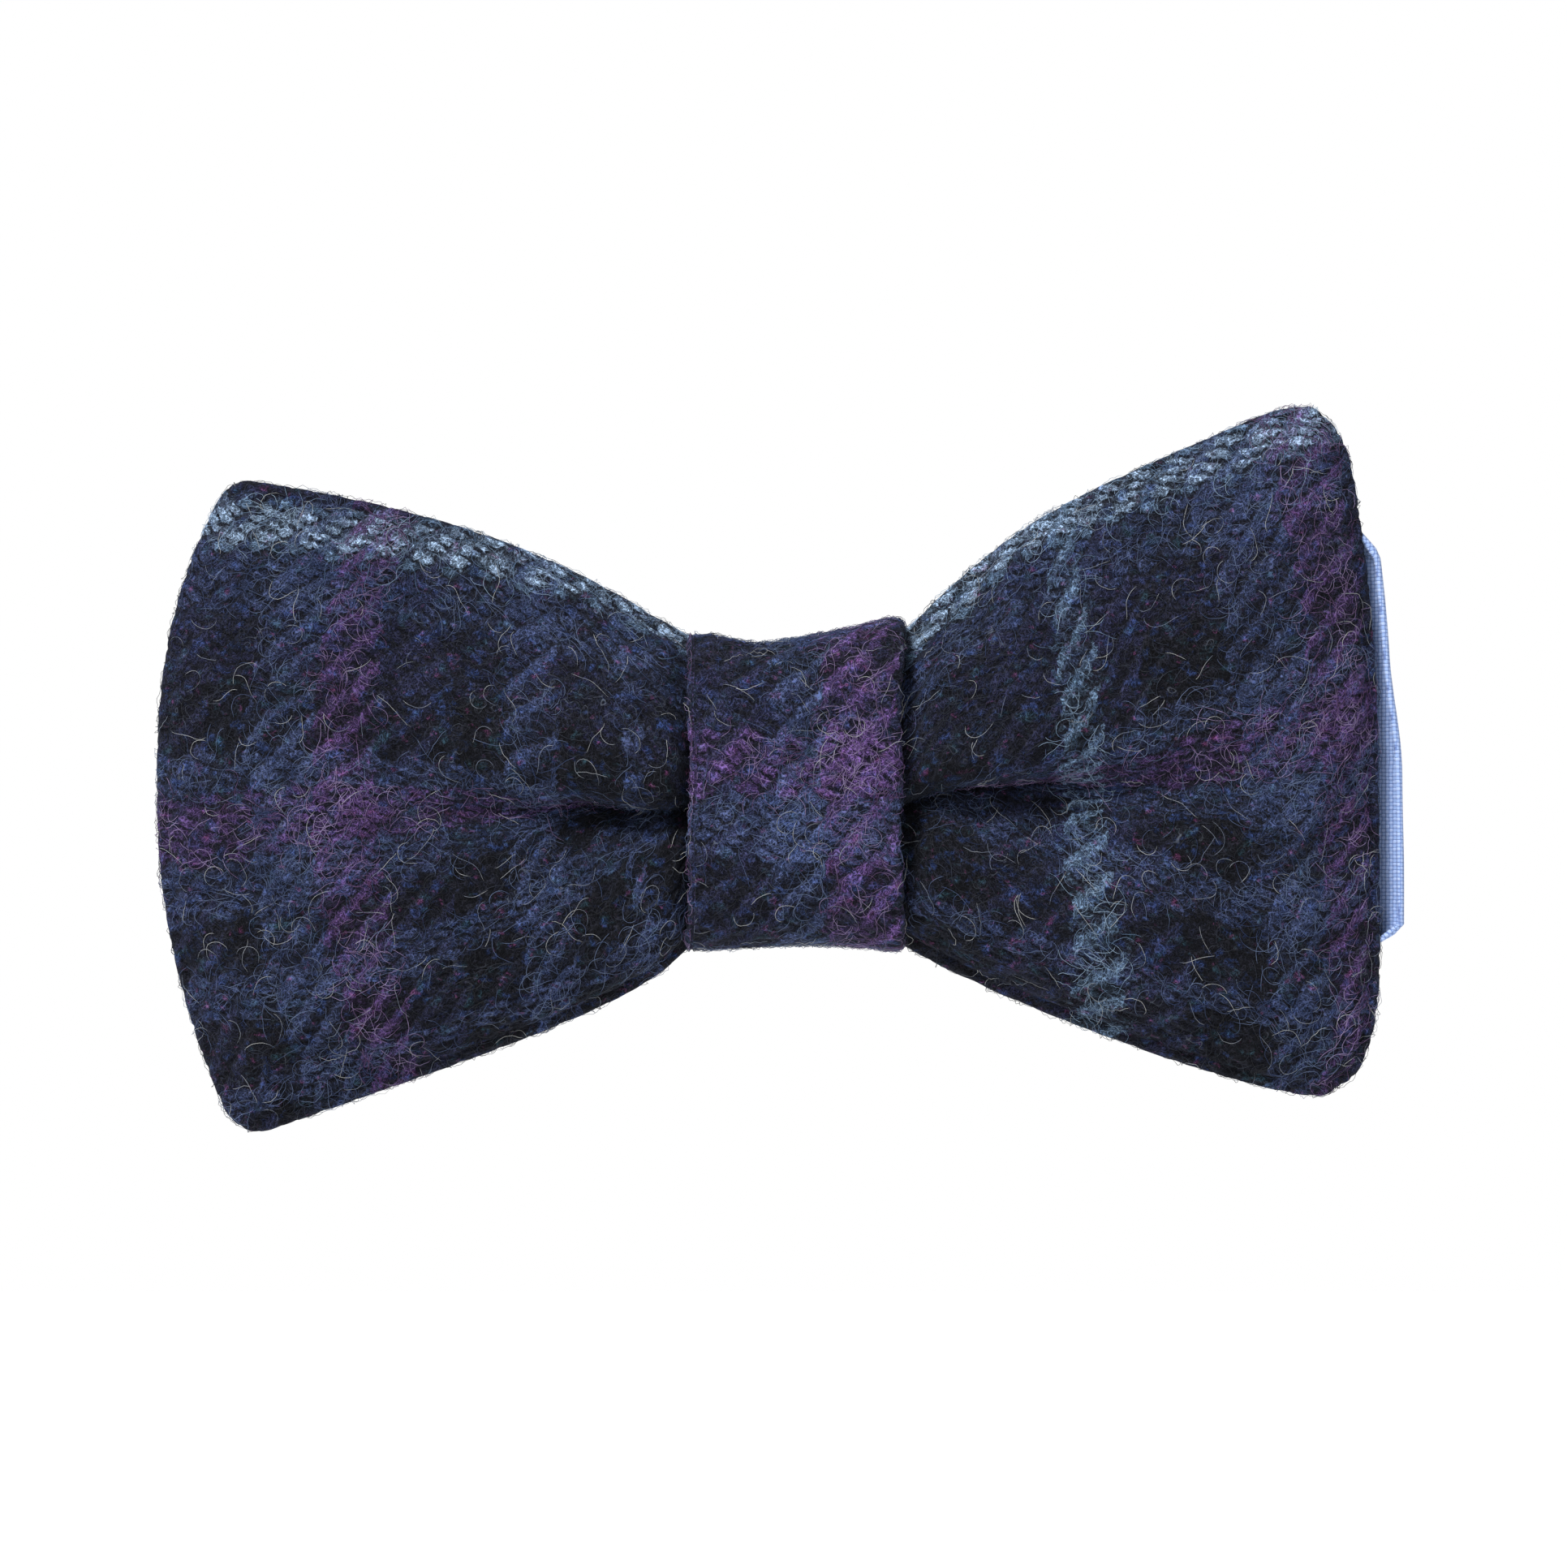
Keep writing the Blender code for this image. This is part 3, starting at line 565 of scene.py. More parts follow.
def closed_sheet(name, outer, inner, step, finish, uv, uv_name="yarns"):
    """A sheet with a fine outer face and an inner face step times coarser, joined round the rim."""
    rows, columns = outer.shape[:2]
    fine = np.arange(rows * columns).reshape(rows, columns)
    coarse = np.arange(inner.shape[0] * inner.shape[1]).reshape(inner.shape[:2]) + fine.size
    outer_rim, inner_rim = boundary(fine), boundary(coarse)
    count = len(inner_rim)
    fans = []
    for index in range(count):
        here, there = inner_rim[index], inner_rim[(index + 1) % count]
        for k in range(step):
            a = outer_rim[(index * step + k) % len(outer_rim)]
            b = outer_rim[(index * step + k + 1) % len(outer_rim)]
            fans.append((b, a, here))
        fans.append((outer_rim[(index + 1) * step % len(outer_rim)], here, there))
    points = np.concatenate([outer.reshape(-1, 3), inner.reshape(-1, 3)])
    both = np.concatenate([uv.reshape(-1, 2), uv[::step, ::step].reshape(-1, 2)])
    faces = [quads(fine), quads(coarse)[:, ::-1], np.array(fans)]
    return write_mesh(name, points, faces, finish, both, uv_name)


def torus_grid(name, points, finish, uv):
    """A grid that closes on itself both ways; its last row and column aren't repeated."""
    rows, columns = points.shape[:2]
    index = np.arange(rows * columns).reshape(rows, columns)
    index = np.vstack([index, index[:1]])
    index = np.hstack([index, index[:, :1]])
    return write_mesh(name, points.reshape(-1, 3), [quads(index)], finish, uv.reshape(-1, 2))


def uneven(shape, cell):
    """Smooth random offsets from -0.5 to 0.5 over a grid, for two coordinates."""
    knots = rng.uniform(-0.5, 0.5, (shape[0] // cell + 3, shape[1] // cell + 3, 2))
    i, j = np.meshgrid(np.arange(shape[0]) / cell, np.arange(shape[1]) / cell, indexing="ij")
    i0, j0 = i.astype(int), j.astype(int)
    fi, fj = smooth_step(i - i0)[..., None], smooth_step(j - j0)[..., None]
    near = knots[i0, j0] * (1 - fj) + knots[i0, j0 + 1] * fj
    far = knots[i0 + 1, j0] * (1 - fj) + knots[i0 + 1, j0 + 1] * fj
    return near * (1 - fi) + far * fi


# ---------------------------------------------------------------- bow shape
def bezier(points, s):
    weights = ((1 - s) ** 3, 3 * s * (1 - s) ** 2, 3 * s * s * (1 - s), s ** 3)
    return sum(w[..., None] * np.array(p) for w, p in zip(weights, points))


def wing_plain(side, s, t):
    """Place on a wing before its corners are rounded; t runs from the bottom edge to the top."""
    wing = WINGS[side]
    top, bottom = bezier(wing["top"], s), bezier(wing["bottom"], s)
    mix = ((t + 1) / 2)[..., None]
    place = bottom + (top - bottom) * mix
    power = np.where(t < 0, wing["powers"][0], wing["powers"][1])
    place[..., 0] += side * wing["bulge"] * s ** 3 * (1 - np.abs(t) ** power)
    return place


def wing_xz(side, s, t):
    place = wing_plain(side, s, t)
    to_end = np.abs(wing_plain(side, np.ones_like(s), t)[..., 0] - place[..., 0])
    to_edge = np.abs(wing_plain(side, s, np.where(t < 0, -1.0, 1.0))[..., 1] - place[..., 1])
    radius = np.where(t < 0, *WINGS[side]["corners"])
    corner = np.clip(1 - to_end / radius, 0, 1) * np.clip(1 - to_edge / radius, 0, 1)
    place[..., 0] -= side * radius / 4 * corner ** 2
    place[..., 1] -= np.sign(t) * radius / 4 * corner ** 2
    return place


def rounding(s, t):
    across = np.sqrt(np.clip(1 - t * t, 0, 1))
    end = np.clip((s - 0.80) / 0.20, 0, 1)
    return across * np.sqrt(1 - end * end)


def pleat_line(side, s):
    start, finish = WINGS[side]["pleat"]
    return start + (finish - start) * smooth_step(s / 0.4)


def front_depth(side, s, t):
    """How far the front cloth stands forward of the fold line, mm."""
    rise = smooth_step(s / 0.20)
    fall = smooth_step((s - 0.25) / 0.6)
    puff = WAIST_PUFF + (LOBE_PUFF - WAIST_PUFF) * rise + (OUTER_PUFF - LOBE_PUFF) * fall
    off = t - pleat_line(side, s)
    depth = PLEAT_DEPTH * (1 - smooth_step(s / PLEAT_REACH))
    width = PLEAT_HALF_WIDTH * (1 + 1.2 * s)
    steep = np.where(off > 0, 0.8, 2.9 - 1.2 * smooth_step(s / 0.6))
    valley = depth * np.exp(-np.abs(off / (width * steep)) ** 1.6)
    ripples = 0.35 * np.sin(9.0 * t + 2.0 * side) * np.exp(-3.0 * s) * smooth_step(s / 0.1)
    sway = 0.45 * np.sin(3.1 * t + 4.5 * s + side) * smooth_step(s / 0.5)
    return puff * rounding(s, t) - valley + (ripples + sway) * rounding(s, t)


def overhang(side, s, t):
    """Downward lean of the upper lobe where it hangs over the pleat."""
    off = (t - pleat_line(side, s)) / (PLEAT_HALF_WIDTH * (1 + 1.2 * s))
    lip = np.clip(off, 0, None) * np.exp(1 - np.clip(off, 0, None))
    lip = lip + 0.5 * np.clip(off, None, 0) * np.exp(1 + np.clip(off, None, 0))
    return OVERHANG * lip * (1 - smooth_step(s / (PLEAT_REACH * 0.9)))


def back_depth(s, t):
    puff = WAIST_PUFF + (BACK_PUFF - WAIST_PUFF) * smooth_step(s / 0.3)
    return puff * rounding(s, t)


def outward(side, s, t):
    """Outward direction of the outline in X-Z where s or t passes its end."""
    step = 1e-3
    sc, tc = np.clip(s, 0, 1), np.clip(t, -1, 1)
    s_low, s_high = np.clip(sc - step, 0, 1), np.clip(sc + step, 0, 1)
    along_s = wing_xz(side, s_high, tc) - wing_xz(side, s_low, tc)
    t_low, t_high = np.clip(tc - step, -1, 1), np.clip(tc + step, -1, 1)
    along_t = wing_xz(side, sc, t_high) - wing_xz(side, sc, t_low)
    normal_t = unit(np.stack([-along_s[..., 1], along_s[..., 0]], -1))
    normal_t = normal_t * np.sign(t)[..., None] * side
    normal_s = unit(np.stack([along_t[..., 1], -along_t[..., 0]], -1)) * side
    over_t = np.maximum(np.abs(t) - 1, 0)[..., None]
    over_s = np.maximum(s - 1, 0)[..., None]
    return unit(over_t * normal_t + over_s * normal_s + 1e-12)


def rolled(side, s, t, depth_sign, half, depth):
    """Points of a cloth face that rolls round the folded edges where s or t passes 1."""
    sc, tc = np.clip(s, 0, 1), np.clip(t, -1, 1)
    place = wing_xz(side, sc, tc)
    over = np.maximum(np.maximum(np.abs(t) - 1, 0), np.maximum(s - 1, 0))
    turn = over * ROLL_ANGLE
    if depth_sign < 0:
        place[..., 1] -= overhang(side, sc, tc)
    place = place + outward(side, s, t) * (half * np.sin(turn))[..., None]
    y = BOW_MID_Y + depth_sign * (half * np.cos(turn) + depth)
    return np.stack([place[..., 0], y, place[..., 1]], -1)


def even_stations(side, spacing):
    """Values of s that keep the mid-line spacing even."""
    s = np.linspace(0, 1, 400)
    x = np.abs(wing_xz(side, s, np.zeros_like(s))[:, 0])
    count = int(round((x[-1] - x[0]) / spacing / 4)) * 4
    return np.interp(np.linspace(x[0], x[-1], count + 1), x, s)


def bow_grid(spacing, roll_steps, waist_steps, row_count):
    """Grid parameters across both wings: side, s and t, with roll steps past each edge."""
    over = 1 + np.arange(1, roll_steps + 1) / roll_steps
    stations = []
    for side in (-1, 1):
        s = np.concatenate([even_stations(side, spacing), over])
        column = [(side, value) for value in s]
        stations.append(column[::-1] if side < 0 else column)
    waist = [(0, value) for value in np.linspace(-1, 1, waist_steps + 1)[1:-1]]
    line = stations[0] + waist + stations[1]
    turn = np.linspace(-1, 1, row_count + 1)
    t = 0.45 * np.sin(turn * math.pi / 2) + 0.55 * turn
    t = np.concatenate([-over[::-1], t, over])
    return line, t


def stations_of(line):
    """The sides and values along a line of bow_grid, as two arrays."""
    return np.array([side for side, _ in line]), np.array([value for _, value in line])


def bow_face(line, t, depth_sign, half, depth_of):
    """Grid points of one face of the bow for the parameters of bow_grid."""
    rows = np.empty((len(line), len(t), 3))
    sides, values = stations_of(line)
    for side in (-1, 1):
        chosen = sides == side
        s, tt = np.meshgrid(values[chosen], t, indexing="ij")
        sc, tc = np.clip(s, 0, 1), np.clip(tt, -1, 1)
        rows[chosen] = rolled(side, s, tt, depth_sign, half, depth_of(side, sc, tc))
    chosen = np.where(sides == 0)[0]
    left, right = rows[chosen[0] - 1], rows[chosen[-1] + 1]
    for index in chosen:
        mix = (values[index] + 1) / 2
        rows[index] = left * (1 - mix) + right * mix
        pinch = 1 - WAIST_PINCH * math.sin(math.pi * mix)
        rows[index, :, 2] *= pinch
        rows[index, :, 1] = BOW_MID_Y + (rows[index, :, 1] - BOW_MID_Y) * pinch
    return rows


def settle(line, t):
    """How the front cloth moves when a slack copy of it is let go over its pinned edges.

    A coarse cloth simulation, a little larger than its frame so that it buckles towards the
    knot, read back at the stations of the fine grid.
    """
    coarse_line, coarse_t = bow_grid(2.0, 2, 6, 32)
    rows = bow_face(coarse_line, coarse_t, -1, EDGE_HALF, front_depth)
    sides, values = stations_of(coarse_line)
    index = np.arange(rows.shape[0] * rows.shape[1]).reshape(rows.shape[:2])
    mesh = bpy.data.meshes.new("settling_cloth")
    mesh.from_pydata((rows.reshape(-1, 3) * SETTLE_SCALE).tolist(), [], quads(index).tolist())
    cloth = add_object("settling_cloth", mesh)
    past = np.maximum(np.abs(coarse_t)[None, :], values[:, None] * (sides != 0)[:, None])
    held = (past > 0.97) | (sides == 0)[:, None] | (values[:, None] < 0.03)
    pleat = np.array([pleat_line(side or 1, np.array(value)) for side, value in coarse_line])
    off = coarse_t[None, :] - pleat[:, None]
    crease = (np.abs(off) < 0.06) & (values[:, None] < 0.45)
    pins = cloth.vertex_groups.new(name="held")
    pins.add(index[held | crease].tolist(), 1.0, "REPLACE")
    modifier = cloth.modifiers.new("settle", "CLOTH")
    settings = modifier.settings
    settings.quality = 7
    settings.mass = 0.35
    settings.tension_stiffness = settings.compression_stiffness = 18
    settings.shear_stiffness = 8
    settings.bending_stiffness = 1.2
    settings.air_damping = 3
    settings.vertex_group_mass = "held"
    settings.shrink_min = settings.shrink_max = -SETTLE_SLACK
    settings.use_pressure = True
    settings.uniform_pressure_force = SETTLE_PUFF
    modifier.collision_settings.use_collision = False
    modifier.point_cache.frame_start = 1
    modifier.point_cache.frame_end = SETTLE_FRAMES
    scene = bpy.context.scene
    for step in range(1, SETTLE_FRAMES + 1):
        scene.frame_set(step)
    result = cloth.evaluated_get(bpy.context.evaluated_depsgraph_get())
    after = np.empty(len(mesh.vertices) * 3, np.float32)
    result.data.vertices.foreach_get("co", after)
    moved = after.reshape(rows.shape).astype(float) / SETTLE_SCALE - rows
    bpy.data.objects.remove(cloth)
    bpy.data.meshes.remove(mesh)
    scene.frame_set(1)
    length = np.maximum(np.linalg.norm(moved, axis=-1, keepdims=True), 1e-6)
    moved *= SETTLE_MOST * np.tanh(length / SETTLE_MOST) / length

    def station(pairs):
        return np.array([side * (1 + value) if side else value for side, value in pairs])

    spread = np.stack([[np.interp(station(line), station(coarse_line), moved[:, j, k])
                        for j in range(len(coarse_t))] for k in range(3)], -1)
    fine = np.stack([[np.interp(t, coarse_t, spread[:, i, k]) for i in range(len(line))]
                     for k in range(3)], -1)
    window = np.ones(7) / 7

    def smoothed(row):
        return np.convolve(np.pad(row, 3, "edge"), window, "valid")

    for axis in (0, 1, 0, 1):
        fine = np.apply_along_axis(smoothed, axis, fine)
    return fine


def yarn_coordinates(line, t, rows):
    """Warp and weft thread numbers: warp follows the wing outwards, weft its height.

    Near the knot the cloth keeps its own height and the rest is swallowed by the pleat.
    """
    count = len(t)
    values = np.clip(stations_of(line)[1], 0, 1)
    lengths = np.linalg.norm(np.diff(rows, axis=1), axis=-1)
    arc = np.concatenate([np.zeros((len(line), 1)), np.cumsum(lengths, axis=1)], axis=1)
    q = np.empty((len(line), count))
    for index, (side, _) in enumerate(line):
        s = values[index] if side else 0.0
        centre = float(pleat_line(side or 1, np.array(s)))
        middle = np.interp(centre, t, arc[index])
        low, high = np.interp([-1, 1], t, arc[index])
        off = arc[index] - middle
        half = np.where(off > 0, high - middle, middle - low)
        spread = off / half * CLOTH_HALF
        kept = np.sign(off) * (CLOTH_HALF - half) + off
        near = smooth_step(np.abs(t - centre) / 0.16)
        kept = spread * (1 - near) * 0.5 + kept * near + off * (1 - near) * 0.5
        share = 1 - smooth_step((s - 0.52) / 0.42 if side > 0 else (s - 0.25) / 0.70)
        q[index] = spread * (1 - share) + kept * share
    x = rows[:, count // 2, 0]
    steps = np.linalg.norm(np.diff(rows[:, count // 2], axis=0), axis=-1)
    past = np.maximum(np.abs(x[1:]), np.abs(x[:-1])) > 0.998 * np.abs(x).max()
    steps = np.where(past, steps, np.abs(np.diff(x)))
    p = np.concatenate([[0], np.cumsum(steps)])
    p = np.repeat((p - np.interp(0.0, x[20:-20], p[20:-20]))[:, None], count, axis=1)
    # The check runs a little out of square: wider above on the right, narrower near the knot
    q = q * np.where(q > 0, 1 + 0.10 * smooth_step((p - 18) / 36), 1)
    q = q * np.where(q > 0, 1 - 0.07 * smooth_step((p + 48) / 30) * (p < 0), 1)
    q = q - 0.05 * p
    return np.stack([(p - WARP_START) / YARN, (q - WEFT_START) / YARN], -1)


def calm_corners(normals, steps):
    """Normals for a face's corners, where both edges roll at once and the grid has no area."""
    last_i, last_j = normals.shape[0] - 1, normals.shape[1] - 1
    for i0, di in ((steps, -1), (last_i - steps, 1)):
        for j0, dj in ((steps, -1), (last_j - steps, 1)):
            source = normals.copy()
            for a in range(1, steps + 1):
                for b in range(1, steps + 1):
                    far = max(a, b)
                    both = source[i0 + di * far, j0 - dj] + source[i0 - di, j0 + dj * far]
                    normals[i0 + di * a, j0 + dj * b] = both
    return unit(normals)


def in_corners(shape, steps):
    """Mask of the grid points in those corners."""
    i, j = np.arange(shape[0])[:, None], np.arange(shape[1])[None, :]
    return ((i < steps) | (i >= shape[0] - steps)) & ((j < steps) | (j >= shape[1] - steps))


# ---------------------------------------------------------------- the bow
def build_tweed(tweed):
    """The bow's front: one tweed cloth, folded round its edges and settled."""
    line, t = bow_grid(SPACING, ROLL_STEPS, WAIST_STEPS, ROW_COUNT)
    base = bow_face(line, t, -1, EDGE_HALF, front_depth)
    base = base + settle(line, t)
    yarns = yarn_coordinates(line, t, base)
    yarns = yarns + uneven(yarns.shape[:2], 9) * 0.85 + uneven(yarns.shape[:2], 26) * 0.8
    normals = calm_corners(grid_normals(base), ROLL_STEPS)
    relief = RELIEF * (twill_height(yarns[..., 0], yarns[..., 1]) - 0.6)
    relief[in_corners(relief.shape, ROLL_STEPS)] = 0
    # The yarns lie flat where the fold turns in behind
    sides, values = stations_of(line)
    over = np.maximum(np.where(sides == 0, 0.0, values)[:, None], np.abs(t)[None, :]) - 1
    relief *= 1 - smooth_step((over - 0.35) / 0.5)
    outer = base + normals * relief[..., None]
    inner = (base - normals * TWEED_THICK)[::COARSE, ::COARSE]
    panel = closed_sheet("bow_tweed", outer, inner, COARSE, tweed, yarns)
    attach(panel, "bow")
    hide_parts("bow_front_panel")
    return base, normals, yarns


def build_lining(cotton):
    """Cotton lining: the back of the bow, rolled forward round its own folded edges."""
    line, t = bow_grid(LINING_SPACING, LINING_ROLL_STEPS, 8, 72)
    sides, values = stations_of(line)
    billow = (sides == 1)[:, None]
    values = np.clip(values, 0, 1)[:, None]
    height = np.clip(t, -1, 1)[None, :]
    swell = smooth_step((height + 0.60) / 0.06) * smooth_step((0.64 - height) / 0.10)
    swell = swell * (0.68 + 0.32 * smooth_step((0.25 - height) / 0.35))
    push = billow * LINING_BILLOW * smooth_step((values - 0.8) / 0.2) * swell

    cloth = bow_face(line, t, 1, 0.95, lambda side, s, tt: back_depth(s, tt) + 0.15)
    cloth[..., 0] += push
    cloth[..., 0] -= np.sign(cloth[..., 0]) * 0.35 * values ** 4 * (1 - billow * 0.5)
    cloth[..., 1] += 0.15
    normals = -calm_corners(grid_normals(cloth), LINING_ROLL_STEPS)
    creases = 0.18 * np.sin(cloth[..., 2] * 0.55 + 0.04 * cloth[..., 0] ** 2)
    creases *= np.exp(-np.abs(cloth[..., 0]) / 30.0)
    cloth = cloth + normals * creases[..., None]
    under = (cloth - normals * COTTON_THICK)[::2, ::2]
    threads = np.stack([cloth[..., 0] / COTTON_PITCH, cloth[..., 2] / COTTON_PITCH], -1)
    lining = closed_sheet("bow_lining", cloth[:, ::-1], under[:, ::-1], 2, cotton,
                          threads[:, ::-1], "threads")
    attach(lining, "bow")
    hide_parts("bow_back_lining")


def build_wadding(finish):
    """Wadding between tweed and lining, thinned towards the edges and short of the seams."""
    line, t = bow_grid(1.6, 2, 6, 36)
    front = bow_face(line, t, -1, 0.3,
                     lambda side, s, tt: front_depth(side, s, tt) - WADDING_INSET)
    back = bow_face(line, t, 1, 0.3, lambda side, s, tt: back_depth(s, tt) - 0.1)
    for rows in (front, back):
        rows[..., 0] *= WADDING_SHARE[0]
        rows[..., 2] *= WADDING_SHARE[1]
    front[..., 1] = np.minimum(front[..., 1], back[..., 1] - 0.3)
    uv = np.zeros(front.shape[:2] + (2,))
    pad = closed_sheet("bow_wadding", front, back, 1, finish, uv)
    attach(pad, "bow")
    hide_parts("bow_interlining")


# ---------------------------------------------------------------- the knot
def knot_loop(count):
    """The knot's section in Y-Z, evenly spaced, with its running length."""
    low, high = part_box("knot_wrap")
    front, back, top = low[1] / MM, high[1] / MM, KNOT_HALF_HEIGHT
    dense = []
    corners = [(back, top, "back"), (front, top, "front_top"),
               (front, -top, "front_bottom"), (back, -top, "back")]
    for quarter, (y, z, corner) in enumerate(corners):
        radius = KNOT_CORNERS[corner]
        cy = y + (radius if y == front else -radius)
        cz = z - math.copysign(radius, z)
        angles = np.radians(90 * (quarter + np.linspace(0, 1, 24)))
        dense.append(np.stack([cy + radius * np.cos(angles),
                               cz + radius * np.sin(angles)], -1))
    dense = np.concatenate(dense)
    dense = np.vstack([dense, dense[:1]])
    length = running_length(dense)
    at = np.linspace(0, length[-1], count + 1)[:-1]
    return np.stack([np.interp(at, length, dense[:, k]) for k in (0, 1)], -1), at


def build_knot(tweed):
    """Tweed strip wrapped round the waist, its long edges folded under."""
    around, length = knot_loop(300)
    half, fold = KNOT_HALF_WIDTH - KNOT_FOLD, KNOT_FOLD
    outer_x = np.linspace(-half, half, 65)
    turn = np.linspace(0, math.pi, 9)[1:-1]
    profile = [(x, 0.0) for x in outer_x]
    profile += [(half + fold * math.sin(a), fold * (math.cos(a) - 1)) for a in turn]
    profile += [(x, -2 * fold) for x in np.linspace(half, -half, 17)]
    profile += [(-half - fold * math.sin(a), fold * (-math.cos(a) - 1)) for a in turn]
    profile = np.array(profile)
    tangent = unit(np.roll(around, -1, axis=0) - np.roll(around, 1, axis=0))
    normal = np.stack([tangent[:, 1], -tangent[:, 0]], -1)
    x = profile[None, :, 0]
    lift = profile[None, :, 1]
    z0 = around[:, 1:2]
    front = smooth_step((-around[:, 0:1] - 7.0) / 6.0)
    upright = smooth_step((np.abs(z0) - 8.0) / 7.0)
    # Edges stand taller than the middle; the front swells; a few soft dents
    edge = (x / KNOT_HALF_WIDTH) ** 2
    swell = front * (0.9 * (1 - (z0 / 15.4) ** 2) - 0.35 * edge)
    swell = swell + 0.25 * np.sin(0.33 * x + 0.21 * z0 + 0.6) * front
    lift = lift + swell
    points = np.empty((len(around), len(profile), 3))
    bow_in = 0.55 * (1 - (z0 / 15.4) ** 2) * np.sign(x) * smooth_step(np.abs(x) / 8.0)
    points[..., 0] = x - bow_in * 0.6 + 0.12 * np.sin(0.5 * z0 + 1.0)
    points[..., 1] = around[:, 0:1] + normal[:, 0:1] * lift
    points[..., 2] = z0 + normal[:, 1:2] * lift + np.sign(z0) * upright * (0.9 * edge - 0.25)
    points[..., 2] += upright * (z0 > 0) * np.interp(x, KNOT_TOP[0], KNOT_TOP[1])
    points[..., 2] -= 0.3 * upright * (z0 < 0) * (1 - edge)
    along = running_length(profile)
    middle = np.interp(0.0, profile[:65, 0], along[:65])
    front_at = length[int(np.argmin(around[:, 0] * 10 + np.abs(around[:, 1])))]
    u = (along - middle)[None, :] + 10.8 + 0.03 * z0
    v = (length - front_at)[:, None] * -1 + 16.6 + 0.04 * x
    yarns = np.stack([u / YARN + 0 * v, v / YARN + 0 * u], -1)
    yarns = yarns + uneven(yarns.shape[:2], 9) * 0.9
    normals = grid_normals(np.vstack([points, points[:1]]))[:-1]
    if np.mean(normals[int(len(around) * 0.375), :65, 1]) > 0:
        normals = -normals
    relief = RELIEF * (twill_height(yarns[..., 0], yarns[..., 1]) - 0.6)
    relief[:, 72:89] = 0
    shaped = points + normals * relief[..., None]
    knot = torus_grid("knot_tweed", shaped, tweed, yarns)
    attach(knot, "bow")
    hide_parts("knot_wrap")
    return points, normals, yarns


# ---------------------------------------------------------------- the neck band
def band_plan(side, start, end):
    """Plan points of the band: 0-1 front arc, 1-2 straight side, 2-3 back arc."""
    run = np.linspace(start, end, 600)
    part = np.clip(np.floor(run), 0, 2)
    share = run - part
    angle = share * math.pi / 2
    arc = BAND_HALF_SPAN - BAND_FLAT_HALF
    parts = [part == 0, part == 1]
    x = np.select(parts, [BAND_FLAT_HALF + arc * np.sin(angle), BAND_HALF_SPAN],
                  BAND_FLAT_HALF + arc * np.cos(angle))
    y = np.select(parts, [SIDE_START_Y - BAND_ARC_DEPTH * np.cos(angle),
                          SIDE_START_Y + BAND_SIDE_RUN * share],
                  SIDE_END_Y + BAND_ARC_DEPTH * np.sin(angle))
    return even_path(np.stack([side * x, y], -1), PLAN_SPACING)


def even_path(points, spacing):
    points = np.asarray(points, float)
    length = running_length(points)
    at = np.linspace(0, length[-1], max(2, int(length[-1] / spacing)) + 1)
    return np.stack([np.interp(at, length, points[:, i]) for i in range(points.shape[1])], -1)


def path_normals(points):
    tangent = unit(np.gradient(points, axis=0))
    return np.stack([tangent[:, 1], -tangent[:, 0]], -1)


def strap(name, path, thick, high, finish, ripple=0.05):
    """A cotton band standing on edge along a plan path, with pressed round edges."""
    normals = path_normals(path)
    turns = np.linspace(-math.pi / 2, math.pi / 2, 6)
    top = [(thick * math.sin(-a), high - thick * 0.8 + thick * 0.8 * math.cos(a))
           for a in turns]
    flat = np.linspace(1, -1, 9)[1:-1] * (high - thick * 0.8)
    loop = top + [(-thick, z) for z in flat]
    loop += [(-x, -z) for x, z in top] + [(thick, -z) for z in flat]
    loop = np.array(loop)
    # The seam allowance folded inside shows as a faint step beside each edge
    allowance = 1 - 0.10 * smooth_step((high - 3.2 - np.abs(loop[:, 1])) / 0.8)
    x = loop[:, 0] * allowance
    count = len(path)
    along = running_length(path)
    wave = ripple * np.sin(along * 0.21 + 1.3)[:, None]
    wave = wave * (1 + 0.6 * np.sin(loop[None, :, 1] * 0.4))
    side = x[None, :] + wave
    points = np.empty((count, len(loop), 3))
    points[..., 0] = path[:, 0:1] + normals[:, 0:1] * side
    points[..., 1] = path[:, 1:2] + normals[:, 1:2] * side
    points[..., 2] = loop[None, :, 1]
    around = running_length(loop)
    uv = np.stack(np.broadcast_arrays(along[:, None], around[None, :]), -1) / COTTON_PITCH
    index = np.arange(count * len(loop)).reshape(count, len(loop))
    wrapped = np.hstack([index, index[:, :1]])
    ends = []
    for row, order in ((index[0], 1), (index[-1], -1)):
        for k in range(len(loop) // 2 - 1):
            ends.append((row[k], row[k + 1], row[-2 - k], row[-1 - k])[::order])
    made = write_mesh(name, points.reshape(-1, 3), [quads(wrapped), np.array(ends)[:, ::-1]],
                      finish, uv.reshape(-1, 2), "threads")
    fix_normals(made)
    return made


def fix_normals(made):
    bm = bmesh.new()
    bm.from_mesh(made.data)
    bmesh.ops.recalc_face_normals(bm, faces=bm.faces[:])
    bm.to_mesh(made.data)
    bm.free()


def turned_end(side, bar):
    angles = np.radians(np.linspace(90, -90, 25))
    return np.stack([bar[0] - side * TURN_RADIUS * np.cos(angles),
                     bar[1] + TURN_RADIUS * np.sin(angles)], -1)


def inner_layer(side, start, end):
    """The band's second layer, on the neck side of the first, from its turned end back."""
    path = band_plan(side, start, end)
    normals = path_normals(path)
    centre = np.array([0.0, (SIDE_START_Y + SIDE_END_Y) / 2])
    inward = np.sign(np.sum((centre - path) * normals, axis=1))[:, None]
    return (path + normals * inward * (2 * BAND_HALF_THICKNESS + LAYER_GAP))[::-1]


